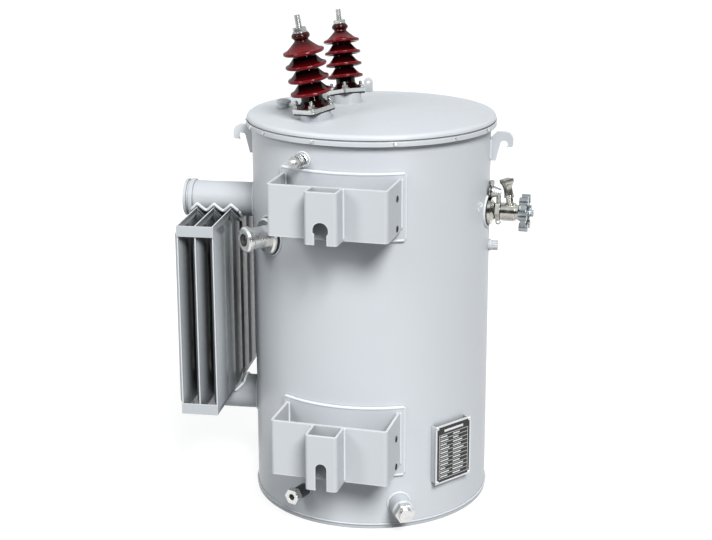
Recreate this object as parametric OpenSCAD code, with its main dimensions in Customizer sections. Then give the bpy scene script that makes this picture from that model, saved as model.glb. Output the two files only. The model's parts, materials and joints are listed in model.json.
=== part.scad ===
// Pole mounted transformer: round tank, hanger brackets, panel radiator, bushings and fittings.
// Frame: origin at the centre of the tank's underside, +Z up, hanger brackets towards -Y,
// radiator towards -X, hand valve towards +X. Angles round the tank run from -Y towards +X.

/* [Tank] */
// Outer radius of the rolled tank wall
tank_r = 305; // [240:1:400]
// Thickness of the tank wall
tank_wall = 4; // [2:0.5:8]
// Height of the lower edge of the clamp band
band_z = 981; // [960:1:1300]
// Thickness of the bottom plate
bottom_t = 10; // [4:0.5:14]
// How far the bottom plate stands out past the wall
bottom_lip = 2; // [0:0.5:6]

/* [Lid] */
// How far the clamp band stands out past the tank wall
band_out = 14.5; // [10:0.5:24]
// Height of the clamp band
band_h = 12; // [8:0.5:24]
// Height of the dome's crown above the lid's edge
dome_rise = 24; // [8:1:60]
// Thickness of the lid sheet
lid_t = 4; // [2:0.5:8]

/* [Bushings] */
// Distance of the front high voltage bushing from the lid's edge
hv1_inset = 102; // [70:1:120]
// Angle of the front high voltage bushing round the tank
hv1_angle = -25.3; // [-45:0.1:0]
// Distance of the rear high voltage bushing from the axis along X
hv2_x = -63; // [-100:1:-20]
// Distance of the rear high voltage bushing from the axis along Y
hv2_y = -8; // [-20:1:40]
// Lean of the front bushing in degrees
hv1_lean = 9.7; // [0:0.1:15]
// Lean of the rear bushing in degrees
hv2_lean = 13.4; // [0:0.1:15]
// Height of the front bushing's flange above the lid's edge
hv1_up = 32; // [20:0.5:60]
// Height of the rear bushing's flange above the lid's edge
hv2_up = 45; // [38:0.5:70]
// Size of the front bushing against the drawn one
hv1_size = 1.05; // [0.9:0.01:1.1]
// Size of the rear bushing against the drawn one
hv2_size = 0.955; // [0.9:0.005:1.1]
// Radius of the porcelain sheds
shed_r = 48; // [40:0.5:56]
// Distance between porcelain sheds
shed_pitch = 31.5; // [26:0.5:44]

/* [Hangers] */
// Distance between the bolt seats of the two hangers
lug_spacing = 590.6; // [400:0.1:640]
// Height of the lower hanger's bolt seat
low_seat_z = 240; // [220:1:300]
// Width across each hanger box
hanger_w = 294; // [200:1:300]
// Distance of the hanger box front from the tank wall
hanger_reach = 100; // [80:1:160]
// Thickness of the bent hanger plates
hanger_t = 6; // [4:0.5:10]
// Height of the upper hanger
upper_h = 126; // [100:1:160]
// Height of the lower hanger
lower_h = 141; // [100:1:160]
// Width of each hanger nose
nose_w = 80; // [70:1:140]
// Depth of the upper nose in front of its box
upper_nose_d = 51; // [30:1:90]
// Depth of the lower nose in front of its box
lower_nose_d = 64; // [30:1:90]

/* [Radiator] */
// Turn of the radiator from the -X axis towards -Y in degrees
radiator_turn = 6.5; // [-15:0.5:15]
// Height of the upper header pipe
header_top_z = 767; // [600:1:800]
// Height of the lower header pipe
header_low_z = 231; // [150:1:400]
// Outer radius of the header pipes
header_r = 45; // [30:0.5:50]
// Distance of the panel nearest the tank from the tank wall
panel_gap = 57; // [50:1:120]
// Distance between radiator panels
panel_pitch = 45; // [42:0.5:60]
// Depth of a panel from front edge to back edge
panel_depth = 480; // [300:1:520]
// Number of pressed flutes across a panel
flute_n = 6; // [3:1:9]
// Half thickness of a panel at a flute
flute_half = 13; // [6:0.5:16]

/* [Valve] */
// Height of the hand valve's axis
valve_z = 768; // [650:1:850]
// Radius of the handwheel over its lobes
wheel_r = 49; // [42:0.5:60]
// Number of lobes on the handwheel
wheel_lobes = 6; // [4:1:8]

/* [Fittings] */
// Gap between the hanger plate's side edge and the side gland
gland_gap = 10; // [4:0.5:40]
// Height of the side gland
gland_z = 727; // [650:1:850]
// Width of the nameplate
plate_w = 120; // [80:1:160]
// Height of the nameplate
plate_h = 157; // [100:1:200]

/* [Hidden] */
$fn = 96;
// Gap between seated pieces
seat = 0.2;
// Overrun of cutting tools
eps = 1;

// Heights stacked up at the tank mouth
band_lip = 4;
flange_t = 4;
gasket_t = 3;
flange_z = band_z + band_lip;
gasket_z = flange_z + flange_t;
lid_z = gasket_z + gasket_t;
band_r = tank_r + band_out;
band_web = 4;
mouth_gap = 2.5;
mouth_r = band_r - band_web - mouth_gap;
skirt_h = 17;
rim_gap = 4;
edge_z = lid_z + skirt_h;
roll_r = 10;
lid_inset = 2;
lid_r = band_r - lid_inset;

paint = [0.80, 0.81, 0.82];
porcelain = [0.25, 0.06, 0.05];
zinc = [0.72, 0.72, 0.70];
rubber = [0.05, 0.05, 0.05];
bronze = [0.60, 0.55, 0.46];
casting = [0.50, 0.53, 0.57];

// Places its child on the tank wall, local +Z outwards and local +Y up
module on_wall(angle, z) {
  rotate([0, 0, angle])
    translate([0, -tank_r, z])
      rotate([90, 0, 0])
        children();
}

// Solid that fills the tank, used to end welded pieces on its wall
module tank_core() {
  translate([0, 0, -eps])
    cylinder(r = tank_r + seat, h = band_z + 2 * eps, $fn = 288);
}

module ring(r_out, r_in, h) {
  difference() {
    cylinder(r = r_out, h = h);
    translate([0, 0, -eps])
      cylinder(r = r_in, h = h + 2 * eps);
  }
}

// Tank wall with its turned out top flange
module tank_shell() {
  inner = tank_r - tank_wall;
  color(paint)
    rotate_extrude()
      polygon([
        [inner, bottom_t],
        [tank_r, bottom_t],
        [tank_r, flange_z],
        [mouth_r, flange_z],
        [mouth_r, gasket_z],
        [inner, gasket_z]
      ]);
}

module tank_bottom() {
  color(paint)
    cylinder(r = tank_r + bottom_lip, h = bottom_t);
}

module lid_gasket() {
  color(rubber)
    translate([0, 0, gasket_z])
      ring(mouth_r, tank_r - tank_wall, gasket_t);
}

// Clamp band: a web round the flanges and a lip under the tank's flange
module lid_band() {
  lip_top = flange_z - seat;
  color(paint)
    rotate_extrude()
      polygon([
        [tank_r + seat, band_z],
        [band_r, band_z],
        [band_r, band_z + band_h],
        [band_r - band_web, band_z + band_h],
        [band_r - band_web, lip_top],
        [tank_r + seat, lip_top]
      ]);
}

// Outer face of the lid: a low dome that meets a rolled edge
dome_edge = lid_r - roll_r;
dome_r = (dome_edge * dome_edge + dome_rise * dome_rise) / (2 * dome_rise);
dome_steps = 14;
function dome_at(r) = edge_z + dome_rise - dome_r + sqrt(dome_r * dome_r - r * r);
function dome_points(drop, reach) = [
  for (k = [0:dome_steps])
    [reach * k / dome_steps, dome_at(reach * k / dome_steps) - drop]
];
roll_points = [
  for (a = [75:-15:0])
    [dome_edge + roll_r * cos(a), edge_z - roll_r + roll_r * sin(a)]
];

// Ball whose top is the dome's outer face, used to end pieces that stand on the lid
module lid_core() {
  translate([0, 0, edge_z + dome_rise - dome_r + seat])
    sphere(r = dome_r, $fn = 360);
}

// Pressed lid: a low dome, a rolled edge and a foot that sits on the gasket
module lid() {
  inner = tank_r - tank_wall;
  foot_over = 1;
  foot_r = mouth_r + foot_over;
  foot_top = band_z + band_h + rim_gap;
  inside = dome_points(lid_t, inner);
  color(paint)
    rotate_extrude()
      polygon(concat(
        dome_points(0, dome_edge),
        roll_points,
        [[lid_r, foot_top], [foot_r, foot_top], [foot_r, lid_z], [inner, lid_z]],
        [for (k = [dome_steps:-1:0]) inside[k]]
      ));
}

// Places its child on the lid, at an angle round the tank and a distance from the lid's edge
module on_lid(angle, inset) {
  rotate([0, 0, angle])
    translate([0, inset - lid_r, 0])
      children();
}

// Directions in which the two high voltage bushings lean
hv1_lean_to = -69;
hv2_lean_to = -138;

module lean(to, by) {
  rotate([0, 0, to])
    rotate([by, 0, 0])
      rotate([0, 0, -to])
        children();
}

// Places its child on the axis of a high voltage bushing, origin at the flange's underside
module hv_place(i) {
  at1 = [(lid_r - hv1_inset) * sin(hv1_angle), (hv1_inset - lid_r) * cos(hv1_angle), edge_z + hv1_up];
  at2 = [hv2_x, hv2_y, edge_z + hv2_up];
  translate(i == 1 ? at1 : at2)
    lean(i == 1 ? hv1_lean_to : hv2_lean_to, i == 1 ? hv1_lean : hv2_lean)
      scale(i == 1 ? hv1_size : hv2_size)
        children();
}

// Drawn sizes of a high voltage bushing, from the flange's underside upwards
hv_foot_r = 33;
hv_gasket_t = 4;
hv_flange_t = 10;
hv_flange_side = 76;
hv_corner_r = 50;
hv_turn = 57;
hv_flare_r = 37;
hv_flare_h = 17;
hv_core_r = 25.5;
hv_first_shed = 35;
hv_shed_rim = 4.5;
hv_shed_rise = 22;
hv_shed_hollow = 1.25;
hv_shed_under = 3;
hv_shed_step = 1;
hv_neck_r = 16.5;
hv_neck_rise = 26;
hv_knob_r = 21.5;
hv_knob_half = 7.5;
hv_knob_up = 37;
hv_nut_r = 16.5;
hv_nut_h = 11;
hv_stud_r = 6.5;
hv_stud_h = 29;
hv_top_shed = hv_flange_t + hv_first_shed + 3 * shed_pitch;
hv_top = hv_top_shed + hv_knob_up + hv_knob_half;

// Square plate with clipped corners, one corner towards the hangers
module clamp_square(side, corner_r, h) {
  rotate([0, 0, hv_turn])
    intersection() {
      translate([-side / 2, -side / 2, 0])
        cube([side, side, h]);
      cylinder(r = corner_r, h = h);
    }
}

// Raised seats of the bushings, ended on the dome
module hv_necks() {
  seat_h = 60;
  seat_over = 4;
  seat_r = hv_foot_r + seat_over;
  color(paint)
    for (i = [1, 2])
      difference() {
        hv_place(i)
          translate([0, 0, -seat_h - hv_gasket_t])
            cylinder(r = seat_r, h = seat_h);
        lid_core();
      }
}

module hv_gaskets() {
  inset = 2;
  color(rubber)
    for (i = [1, 2])
      difference() {
        hv_place(i)
          translate([0, 0, -hv_gasket_t])
            clamp_square(hv_flange_side - 2 * inset, hv_corner_r - inset, hv_gasket_t);
        lid_core();
      }
}

// Square clamp flange with a hole for the porcelain's foot
module hv_flanges() {
  color(zinc)
    for (i = [1, 2])
      hv_place(i)
        difference() {
          clamp_square(hv_flange_side, hv_corner_r, hv_flange_t);
          translate([0, 0, -eps])
            cylinder(r = hv_foot_r, h = hv_flange_t + 2 * eps);
        }
}

// Hollow curve from a low outer point up to a tall inner one, like a shed's upper face
shed_steps = 6;
function sweep_up(r_out, r_in, z_out, z_in) = [
  for (k = [0:shed_steps])
    let (t = k / shed_steps)
      [r_out + (r_in - r_out) * t, z_out + (z_in - z_out) * pow(t, hv_shed_hollow)]
];

// Half circle from below to above, bulging outwards
function half_round(r_at, z_at, r) = [
  for (a = [-90:15:90])
    [r_at + r * cos(a), z_at + r * sin(a)]
];

// One shed: nearly level underside, round rim and a hollow upper face
function shed_points(z, rise, top_r) = concat(
  [[hv_core_r, z + hv_shed_under]],
  half_round(shed_r - hv_shed_rim, z, hv_shed_rim),
  sweep_up(shed_r - hv_shed_rim - hv_shed_step, top_r, z + hv_shed_rim, z + rise)
);

// Porcelain: foot through the flange, flared base, four drooping sheds, neck and round knob
module porcelain_body() {
  base = hv_flange_t + seat;
  flare_edge = 3;
  knob_at = hv_knob_r - hv_knob_half;
  rotate_extrude()
    polygon(concat(
      [[0, 0], [hv_foot_r - seat, 0], [hv_foot_r - seat, base], [hv_flare_r, base]],
      sweep_up(hv_flare_r, hv_core_r, base + flare_edge, base + hv_flare_h),
      [for (k = [3:-1:1]) each shed_points(hv_top_shed - k * shed_pitch, hv_shed_rise, hv_core_r)],
      shed_points(hv_top_shed, hv_neck_rise, hv_neck_r),
      [[hv_neck_r, hv_top - 2 * hv_knob_half]],
      half_round(knob_at, hv_top - hv_knob_half, hv_knob_half),
      [[0, hv_top]]
    ));
}

module hv_porcelain_1() {
  color(porcelain)
    hv_place(1)
      porcelain_body();
}

module hv_porcelain_2() {
  color(porcelain)
    hv_place(2)
      porcelain_body();
}

// Terminal: washer, hexagon nut and threaded stud
module hv_terminals() {
  washer_h = 2;
  washer_over = 1;
  color(zinc)
    for (i = [1, 2])
      hv_place(i)
        translate([0, 0, hv_top + seat]) {
          cylinder(r = hv_nut_r + washer_over, h = washer_h);
          translate([0, 0, washer_h])
            cylinder(r = hv_nut_r, h = hv_nut_h - washer_h, $fn = 6);
          translate([0, 0, hv_nut_h])
            cylinder(r = hv_stud_r, h = hv_stud_h);
        }
}

eye_r = 12;
eye_hole_r = 5;
eye_t = 12;
eye_up = 34;
eye_angle = -163;
eye_inset = 69;

// Lug with a hole, welded upright on the lid
module lid_eye() {
  color(paint)
    difference() {
      on_lid(eye_angle, eye_inset)
        translate([0, eye_t / 2, 0])
          rotate([90, 0, 0])
            difference() {
              union() {
                translate([0, edge_z + eye_up, 0])
                  cylinder(r = eye_r, h = eye_t);
                translate([-eye_r, edge_z, 0])
                  cube([2 * eye_r, eye_up, eye_t]);
              }
              translate([0, edge_z + eye_up, -eps])
                cylinder(r = eye_hole_r, h = eye_t + 2 * eps);
            }
      lid_core();
    }
}

filler_angle = -71.7;
filler_inset = 94;
filler_r = 15;
filler_h = 30;

// Filler plug: short neck with a wide collar and a domed cap
module filler_plug() {
  collar = 4;
  collar_h = 6;
  cap_h = 4;
  color(paint)
    difference() {
      on_lid(filler_angle, filler_inset)
        translate([0, 0, edge_z])
          rotate_extrude()
            polygon([
              [0, 0],
              [filler_r, 0],
              [filler_r, filler_h - collar_h],
              [filler_r + collar, filler_h - collar_h],
              [filler_r + collar, filler_h],
              [filler_r - collar, filler_h + cap_h],
              [0, filler_h + cap_h]
            ]);
      lid_core();
    }
}

// Lifting hooks: sizes along the hook's own plane, out from the wall and down from the band
hook_t = 12;
hook_turn = 6;
hook_out = tank_r + 57;
hook_top = band_z - 15;
hook_foot = band_z - 89;
hook_foot_w = 14;
hook_crown = 20;
throat_half = 10;
throat_at = tank_r + 34;
throat_z = band_z - 47;
notch_drop = 16;
notch_w = 17;
notch_root = 1;

// Hook plate: a round crown, a round tip and a throat open downwards
module hook_plate() {
  tip_half = (hook_out - throat_at - throat_half) / 2;
  root = tank_r - tank_wall;
  difference() {
    translate([0, hook_t / 2, 0])
      rotate([90, 0, 0])
        linear_extrude(hook_t)
          difference() {
            union() {
              polygon([
                [root, hook_foot],
                [tank_r + hook_foot_w, hook_foot],
                [throat_at - throat_half, throat_z],
                [hook_out, throat_z],
                [hook_out, hook_top - hook_crown],
                [hook_out - hook_crown, hook_top],
                [tank_r + notch_w, hook_top],
                [tank_r + notch_root, hook_top - notch_drop],
                [root, hook_top - notch_drop]
              ]);
              translate([hook_out - hook_crown, hook_top - hook_crown])
                circle(r = hook_crown);
              translate([hook_out - tip_half, throat_z])
                circle(r = tip_half);
            }
            translate([throat_at, throat_z])
              circle(r = throat_half);
          }
    tank_core();
  }
}

module lifting_hooks() {
  color(paint)
    for (side = [0, 180])
      rotate([0, 0, hook_turn + side])
        hook_plate();
}

// Hanger heights and the curved plates that carry the boxes
hanger_front = tank_r + hanger_reach;
up_seat_z = low_seat_z + lug_spacing;
upper_drop = 54;
lower_drop = 69;
upper_z = up_seat_z - upper_drop;
lower_z = low_seat_z - lower_drop;
plate_t = 6;
plate_side = 9;
plate_chord = hanger_w + 2 * plate_side;
plate_over = 11;
plate_under = 26;

module curved_plate(z, h) {
  intersection() {
    translate([0, 0, z])
      ring(tank_r + plate_t, tank_r + seat, h);
    translate([-plate_chord / 2, -2 * tank_r, z])
      cube([plate_chord, 2 * tank_r, h]);
  }
}

module hanger_plates() {
  color(paint) {
    curved_plate(upper_z - plate_under, upper_h + plate_under + plate_over);
    curved_plate(lower_z - plate_under, lower_h + plate_under + plate_over);
  }
}

// Plan with two rounded front corners
module round_plan(w, depth, r) {
  translate([-w / 2, r])
    square([w, depth - r]);
  translate([-w / 2 + r, 0])
    square([w - 2 * r, r + eps]);
  for (s = [-1, 1])
    translate([s * (w / 2 - r), r])
      circle(r = r);
}

// Plan of a plate bent to a U: rounded outer and inner corners, legs towards +Y
module bent_plan(w, depth, inner_bend) {
  difference() {
    round_plan(w, depth, inner_bend + hanger_t);
    translate([0, hanger_t])
      round_plan(w - 2 * hanger_t, depth, inner_bend);
  }
}

// Tie holes in the box's legs: distance from the curved plate, from the lower edge and between them
side_hole_r = 5.5;
side_hole_off = 43;
side_hole_up = 14;
side_hole_pitch = 73;

// Hanger box: a plate bent to a U, its legs welded to the curved plate, two tie holes a side
module hanger_box(z, h) {
  box_bend = 4;
  hole_at = side_hole_off + sqrt(pow(tank_r + plate_t, 2) - pow(hanger_w / 2, 2));
  color(paint)
    difference() {
      translate([0, -hanger_front, z])
        linear_extrude(h)
          bent_plan(hanger_w, hanger_front, box_bend);
      translate([0, 0, z - eps])
        cylinder(r = tank_r + plate_t + seat, h = h + 2 * eps, $fn = 288);
      translate([-hanger_w, 0, z - eps])
        cube([2 * hanger_w, tank_r, h + 2 * eps]);
      for (k = [0, 1])
        translate([-hanger_w, -hole_at, z + side_hole_up + k * side_hole_pitch])
          rotate([0, 90, 0])
            cylinder(r = side_hole_r, h = 2 * hanger_w);
    }
}

module upper_hanger_box() {
  hanger_box(upper_z, upper_h);
}

module lower_hanger_box() {
  hanger_box(lower_z, lower_h);
}

module nose_blank(z, h, depth) {
  nose_bend = 3;
  translate([0, -hanger_front - depth, z])
    linear_extrude(h)
      bent_plan(nose_w, depth - seat, nose_bend);
}

upper_arch_r = 18.7;
upper_slot_w = 30;
upper_arch_drop = 7;
lower_slot_w = 27.5;

// Upper nose with a keyhole slot that drops over the pole bolt
module upper_hanger_nose() {
  front = -hanger_front - upper_nose_d;
  cut = hanger_t + 2 * eps;
  arch_z = up_seat_z - upper_arch_r;
  color(paint)
    difference() {
      nose_blank(upper_z, upper_h, upper_nose_d);
      translate([0, front - eps, arch_z])
        rotate([-90, 0, 0])
          cylinder(r = upper_arch_r, h = cut);
      translate([-upper_arch_r, front - eps, arch_z - upper_arch_drop])
        cube([2 * upper_arch_r, cut, upper_arch_drop]);
      translate([-upper_slot_w / 2, front - eps, upper_z - eps])
        cube([upper_slot_w, cut, arch_z - upper_z]);
    }
}

module lower_hanger_nose() {
  front = -hanger_front - lower_nose_d;
  cut = hanger_t + 2 * eps;
  arch_z = low_seat_z - lower_slot_w / 2;
  color(paint)
    difference() {
      nose_blank(lower_z, lower_h, lower_nose_d);
      translate([0, front - eps, arch_z])
        rotate([-90, 0, 0])
          cylinder(r = lower_slot_w / 2, h = cut);
      translate([-lower_slot_w / 2, front - eps, lower_z - eps])
        cube([lower_slot_w, cut, arch_z - lower_z + eps]);
    }
}

// Radiator frame: local +X runs outwards along the headers, local +Y towards the hangers
module radiator_place() {
  rotate([0, 0, 180 + radiator_turn])
    children();
}

panel_start = tank_r + panel_gap;
panel_top_drop = 14;
panel_low_rise = 24;
panel_top = header_top_z - panel_top_drop;
panel_low = header_low_z + panel_low_rise;
panel_h = panel_top - panel_low;
seam_t = 3;
seam_w = 9;
roof = 19;
header_tail = 32;
header_end = panel_start + 2 * panel_pitch + header_tail;
header_wall = 4;
cap_t = 8;
cap_lip = 4;

module header(z) {
  difference() {
    radiator_place()
      translate([0, 0, z])
        rotate([0, 90, 0])
          ring(header_r, header_r - header_wall, header_end);
    tank_core();
  }
}

module upper_header() {
  color(paint)
    header(header_top_z);
}

module lower_header() {
  color(paint)
    header(header_low_z);
}

module header_caps() {
  color(paint)
    radiator_place()
      for (z = [header_top_z, header_low_z])
        translate([header_end + seat, 0, z])
          rotate([0, 90, 0])
            cylinder(r = header_r + cap_lip, h = cap_t);
}

// Plan of one flute: a channel with a flat crest and sloping sides, bulging both ways
module flute_plan(w) {
  crest_share = 0.3;
  crest = crest_share * w;
  root = seam_t / 2;
  polygon([
    [-flute_half, -crest],
    [-root, -w / 2],
    [root, -w / 2],
    [flute_half, -crest],
    [flute_half, crest],
    [root, w / 2],
    [-root, w / 2],
    [-flute_half, crest]
  ]);
}

// End view of the pressed body: roof shaped at the top and at the foot
module roof_plan(half) {
  slope = roof * half / flute_half;
  polygon([
    [-half, panel_low + seam_w + slope],
    [0, panel_low + seam_w],
    [half, panel_low + seam_w + slope],
    [half, panel_top - seam_w - slope],
    [0, panel_top - seam_w],
    [-half, panel_top - seam_w - slope]
  ]);
}

// Pressed panel: a thin seam sheet all round, flutes bulging both ways, roof shaped ends
module panel_body() {
  flute_w = (panel_depth - 2 * seam_w) / flute_n;
  valley = 5;
  translate([-seam_t / 2, -panel_depth / 2, panel_low])
    cube([seam_t, panel_depth, panel_h]);
  intersection() {
    translate([0, 0, panel_low])
      linear_extrude(panel_h) {
        translate([-valley, -panel_depth / 2 + seam_w + flute_w / 2])
          square([2 * valley, panel_depth - 2 * seam_w - flute_w]);
        for (k = [0:flute_n - 1])
          translate([0, -panel_depth / 2 + seam_w + (k + 0.5) * flute_w])
            flute_plan(flute_w);
      }
    translate([0, panel_depth / 2, 0])
      rotate([90, 0, 0])
        linear_extrude(panel_depth)
          roof_plan(flute_half);
  }
}

collar_gap = 6;
collar_w = 14;

// Collar pressed out round a header: as wide as the pitch allows, with the panel's roof shape
module panel_collar(z) {
  half = (panel_pitch - collar_gap) / 2;
  intersection() {
    translate([-half, 0, z])
      rotate([0, 90, 0])
        cylinder(r = header_r + collar_w, h = 2 * half);
    translate([0, panel_depth / 2, seam_w * (z > panel_top ? 1 : -1)])
      rotate([90, 0, 0])
        linear_extrude(panel_depth)
          roof_plan(half);
  }
}

module radiator_panel(i) {
  color(paint)
    radiator_place()
      difference() {
        translate([panel_start + (i - 1) * panel_pitch, 0, 0]) {
          panel_body();
          for (z = [header_top_z, header_low_z])
            panel_collar(z);
        }
        for (z = [header_top_z, header_low_z])
          translate([0, 0, z])
            rotate([0, 90, 0])
              cylinder(r = header_r + seat, h = header_end);
      }
}

module radiator_panel_1() {
  radiator_panel(1);
}

module radiator_panel_2() {
  radiator_panel(2);
}

module radiator_panel_3() {
  radiator_panel(3);
}

tie_h = 28;
tie_t = 3;

// Tie strips across the panel edges, two at the front and two at the back
module radiator_ties() {
  tie_over = 1;
  tie_w = 2 * panel_pitch + seam_t + 2 * tie_over;
  middle = panel_start + panel_pitch;
  color(paint)
    radiator_place()
      for (z = [panel_low, panel_top - tie_h])
        for (s = [0, 1])
          mirror([0, s, 0])
            translate([middle - tie_w / 2, panel_depth / 2 + seat, z])
              cube([tie_w, tie_t, tie_h]);
}

// Valve: sizes run outwards along its axis from the tank wall
module valve_place() {
  on_wall(90, valve_z)
    children();
}

valve_gasket_t = 3;
valve_pad = 6;
valve_flange_r = 34;
valve_gasket_over = 2;
valve_flange_t = 8;
cone_r = 27;
cone_end_r = 18;
collar_at = 22;
collar_end = 33;
collar_r = 26;
barrel_r = 23;
barrel_end = 79;
barrel_ring = 7;
barrel_step = 4;
barrel_lead = 2;
stem_r = 7;
stem_fit = 0.05;
stem_bore = 30;
loop_r = 5.5;
loop_wire = 1.8;

module valve_gasket() {
  color(rubber)
    difference() {
      valve_place()
        translate([0, 0, -valve_pad])
          cylinder(r = valve_flange_r + valve_gasket_over, h = valve_pad + valve_gasket_t);
      tank_core();
    }
}

// Flange, cone neck, hexagon collar, barrel and lock loop, bored for the stem
module valve_body() {
  face = valve_gasket_t + seat;
  color(bronze)
    valve_place()
      difference() {
        union() {
          rotate_extrude()
            polygon([
              [0, face],
              [valve_flange_r, face],
              [valve_flange_r, face + valve_flange_t],
              [cone_r, face + valve_flange_t],
              [cone_end_r, collar_at],
              [cone_end_r, collar_end + eps],
              [barrel_r, collar_end + eps + barrel_lead],
              [barrel_r, barrel_end - barrel_ring],
              [barrel_r - barrel_step, barrel_end - barrel_ring],
              [barrel_r - barrel_step, barrel_end],
              [0, barrel_end]
            ]);
          translate([0, 0, collar_at])
            cylinder(r = collar_r, h = collar_end - collar_at, $fn = 6);
          translate([0, -collar_r * cos(30) - loop_r, (collar_at + collar_end) / 2])
            rotate([0, 90, 0])
              rotate_extrude()
                translate([loop_r, 0])
                  circle(r = loop_wire, $fn = 24);
        }
        translate([0, 0, barrel_end - stem_bore])
          cylinder(r = stem_r + stem_fit, h = stem_bore + eps);
      }
}

union_up = 50;
union_r = 15;
union_at = 5;
union_disc = 3;
union_groove = 4;

// Small union that stands on the collar: two clamp discs, a cone and its bolt
module valve_bonnet() {
  neck_r = 6;
  bolt_r = 5;
  bolt_head_r = 8;
  bolt_up = 10;
  bolt_shank = 3;
  cone_len = 20;
  tip_r = 8;
  collar_mid = (collar_at + collar_end) / 2;
  collar_top = collar_r * cos(30) + seat;
  color(zinc)
    valve_place() {
      translate([0, union_up, union_at])
        rotate_extrude()
          polygon([
            [0, 0],
            [union_r, 0],
            [union_r, union_disc],
            [union_r - union_groove, union_disc],
            [union_r - union_groove, 2 * union_disc],
            [union_r, 2 * union_disc],
            [union_r, 3 * union_disc],
            [tip_r, 3 * union_disc + cone_len],
            [0, 3 * union_disc + cone_len]
          ]);
      translate([0, collar_top, collar_mid])
        rotate([-90, 0, 0])
          cylinder(r = neck_r, h = union_up - collar_top);
      translate([0, union_up, union_at + 1.5 * union_disc])
        rotate([-90, 0, 0]) {
          cylinder(r = bolt_r, h = union_r + bolt_up);
          translate([0, 0, union_r + bolt_shank])
            cylinder(r = bolt_head_r, h = bolt_up, $fn = 6);
        }
    }
}

post_at = 61;
post_lean = 10;
post_ring_r = 12.5;
post_ring_up = 38;
post_ring_h = 8;
post_neck_r = 9;
post_top = 86;
post_head_h = 9;
post_head_half = 13;
post_waist_half = 8;
post_steps = 10;
post_flare = 4;

// Side view of the post: a waist that flares to a square head
module post_plan() {
  foot = post_ring_up + post_ring_h;
  flare = post_top - post_head_h - foot;
  side = [
    for (k = [0:post_steps])
      let (t = k / post_steps)
        [post_waist_half + (post_head_half - post_waist_half) * pow(t, post_flare), foot + flare * t]
  ];
  half = concat(side, [[post_head_half, post_top]]);
  polygon(concat(
    half,
    [for (k = [len(half) - 1:-1:0]) [-half[k][0], half[k][1]]]
  ));
}

// Square post with hollow sides on a round ring, seated on the barrel and leaning to the tank
module valve_post() {
  color(bronze)
    difference() {
      translate([tank_r + post_at, 0, valve_z])
        rotate([0, -post_lean, 0])
          rotate([0, 0, 45]) {
            cylinder(r = post_neck_r, h = post_ring_up + eps);
            translate([0, 0, post_ring_up])
              cylinder(r = post_ring_r, h = post_ring_h);
            intersection() {
              translate([0, post_head_half, 0])
                rotate([90, 0, 0])
                  linear_extrude(2 * post_head_half)
                    post_plan();
              translate([-post_head_half, 0, 0])
                rotate([90, 0, 90])
                  linear_extrude(2 * post_head_half)
                    post_plan();
            }
          }
      valve_place()
        cylinder(r = barrel_r + seat, h = barrel_end + barrel_r);
    }
}

wheel_gap = 5;
wheel_t = 14;
lobe_r = 11;
lobe_t = 22;
hub_r = 14;
hub_h = 24;
spoke_n = 3;
spoke_w = 10;
spoke_sink = 2;
stem_clear = 4;

// Lobed handwheel: open rim, spokes, hub with its nut, and the stem that it turns
module handwheel() {
  start = barrel_end + wheel_gap;
  rim_r = wheel_r - lobe_r;
  rim_in = rim_r - lobe_r;
  stem_in = stem_bore - stem_clear;
  nut_h = 9;
  nut_r = 9;
  color(casting)
    valve_place() {
      translate([0, 0, barrel_end - stem_in])
        cylinder(r = stem_r, h = stem_in + wheel_gap + eps);
      translate([0, 0, start])
        cylinder(r = hub_r, h = hub_h);
      translate([0, 0, start + hub_h])
        cylinder(r = nut_r, h = nut_h, $fn = 6);
      translate([0, 0, start + (lobe_t - wheel_t) / 2])
        ring(rim_r + spoke_sink, rim_in, wheel_t);
      for (k = [0:spoke_n - 1])
        rotate(k * 360 / spoke_n)
          translate([hub_r - spoke_sink, -spoke_w / 2, start + (lobe_t - spoke_w) / 2])
            cube([rim_in - hub_r + 2 * spoke_sink, spoke_w, spoke_w]);
      for (k = [0:wheel_lobes - 1])
        rotate(k * 360 / wheel_lobes)
          translate([rim_r, 0, start])
            cylinder(r = lobe_r, h = lobe_t);
    }
}

gland_pad = 12;
gland_flange_r = 46;
gland_flange_t = 10;
gland_gasket_t = 4;
gland_gasket_over = 1;
gland_gasket_r = gland_flange_r + gland_gasket_over;
gland_body_r = 27;
gland_ring_r = 32;
gland_ring_t = 14;
gland_bore_r = 13;
gland_bore_depth = 40;
gland_len = 74;
gland_angle = -asin(plate_chord / 2 / (tank_r + plate_t)) - asin((gland_gasket_r + gland_gap) / tank_r);

module gland_gasket() {
  color(rubber)
    difference() {
      on_wall(gland_angle, gland_z)
        translate([0, 0, -gland_pad])
          cylinder(r = gland_gasket_r, h = gland_pad + gland_gasket_t);
      tank_core();
    }
}

// Side gland: flange, round body and a bevelled end ring with a blind bore
module gland_body() {
  face = gland_gasket_t + seat;
  bevel = 4;
  color(zinc)
    on_wall(gland_angle, gland_z)
      difference() {
        rotate_extrude()
          polygon([
            [0, face],
            [gland_flange_r, face],
            [gland_flange_r, face + gland_flange_t - bevel],
            [gland_flange_r - bevel, face + gland_flange_t],
            [gland_body_r, face + gland_flange_t],
            [gland_body_r, gland_len - gland_ring_t - bevel],
            [gland_ring_r, gland_len - gland_ring_t],
            [gland_ring_r, gland_len - bevel],
            [gland_ring_r - bevel, gland_len],
            [0, gland_len]
          ]);
        translate([0, 0, gland_len - gland_bore_depth])
          cylinder(r = gland_bore_r, h = gland_bore_depth + eps);
      }
}

earth_angle = -17.5;
earth_z = band_z - 42;
earth_boss_r = 18;
earth_boss_h = 10;
earth_stud_r = 7;
earth_len = 56;
earth_nut_r = 15;
earth_nut_h = 9;

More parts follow.
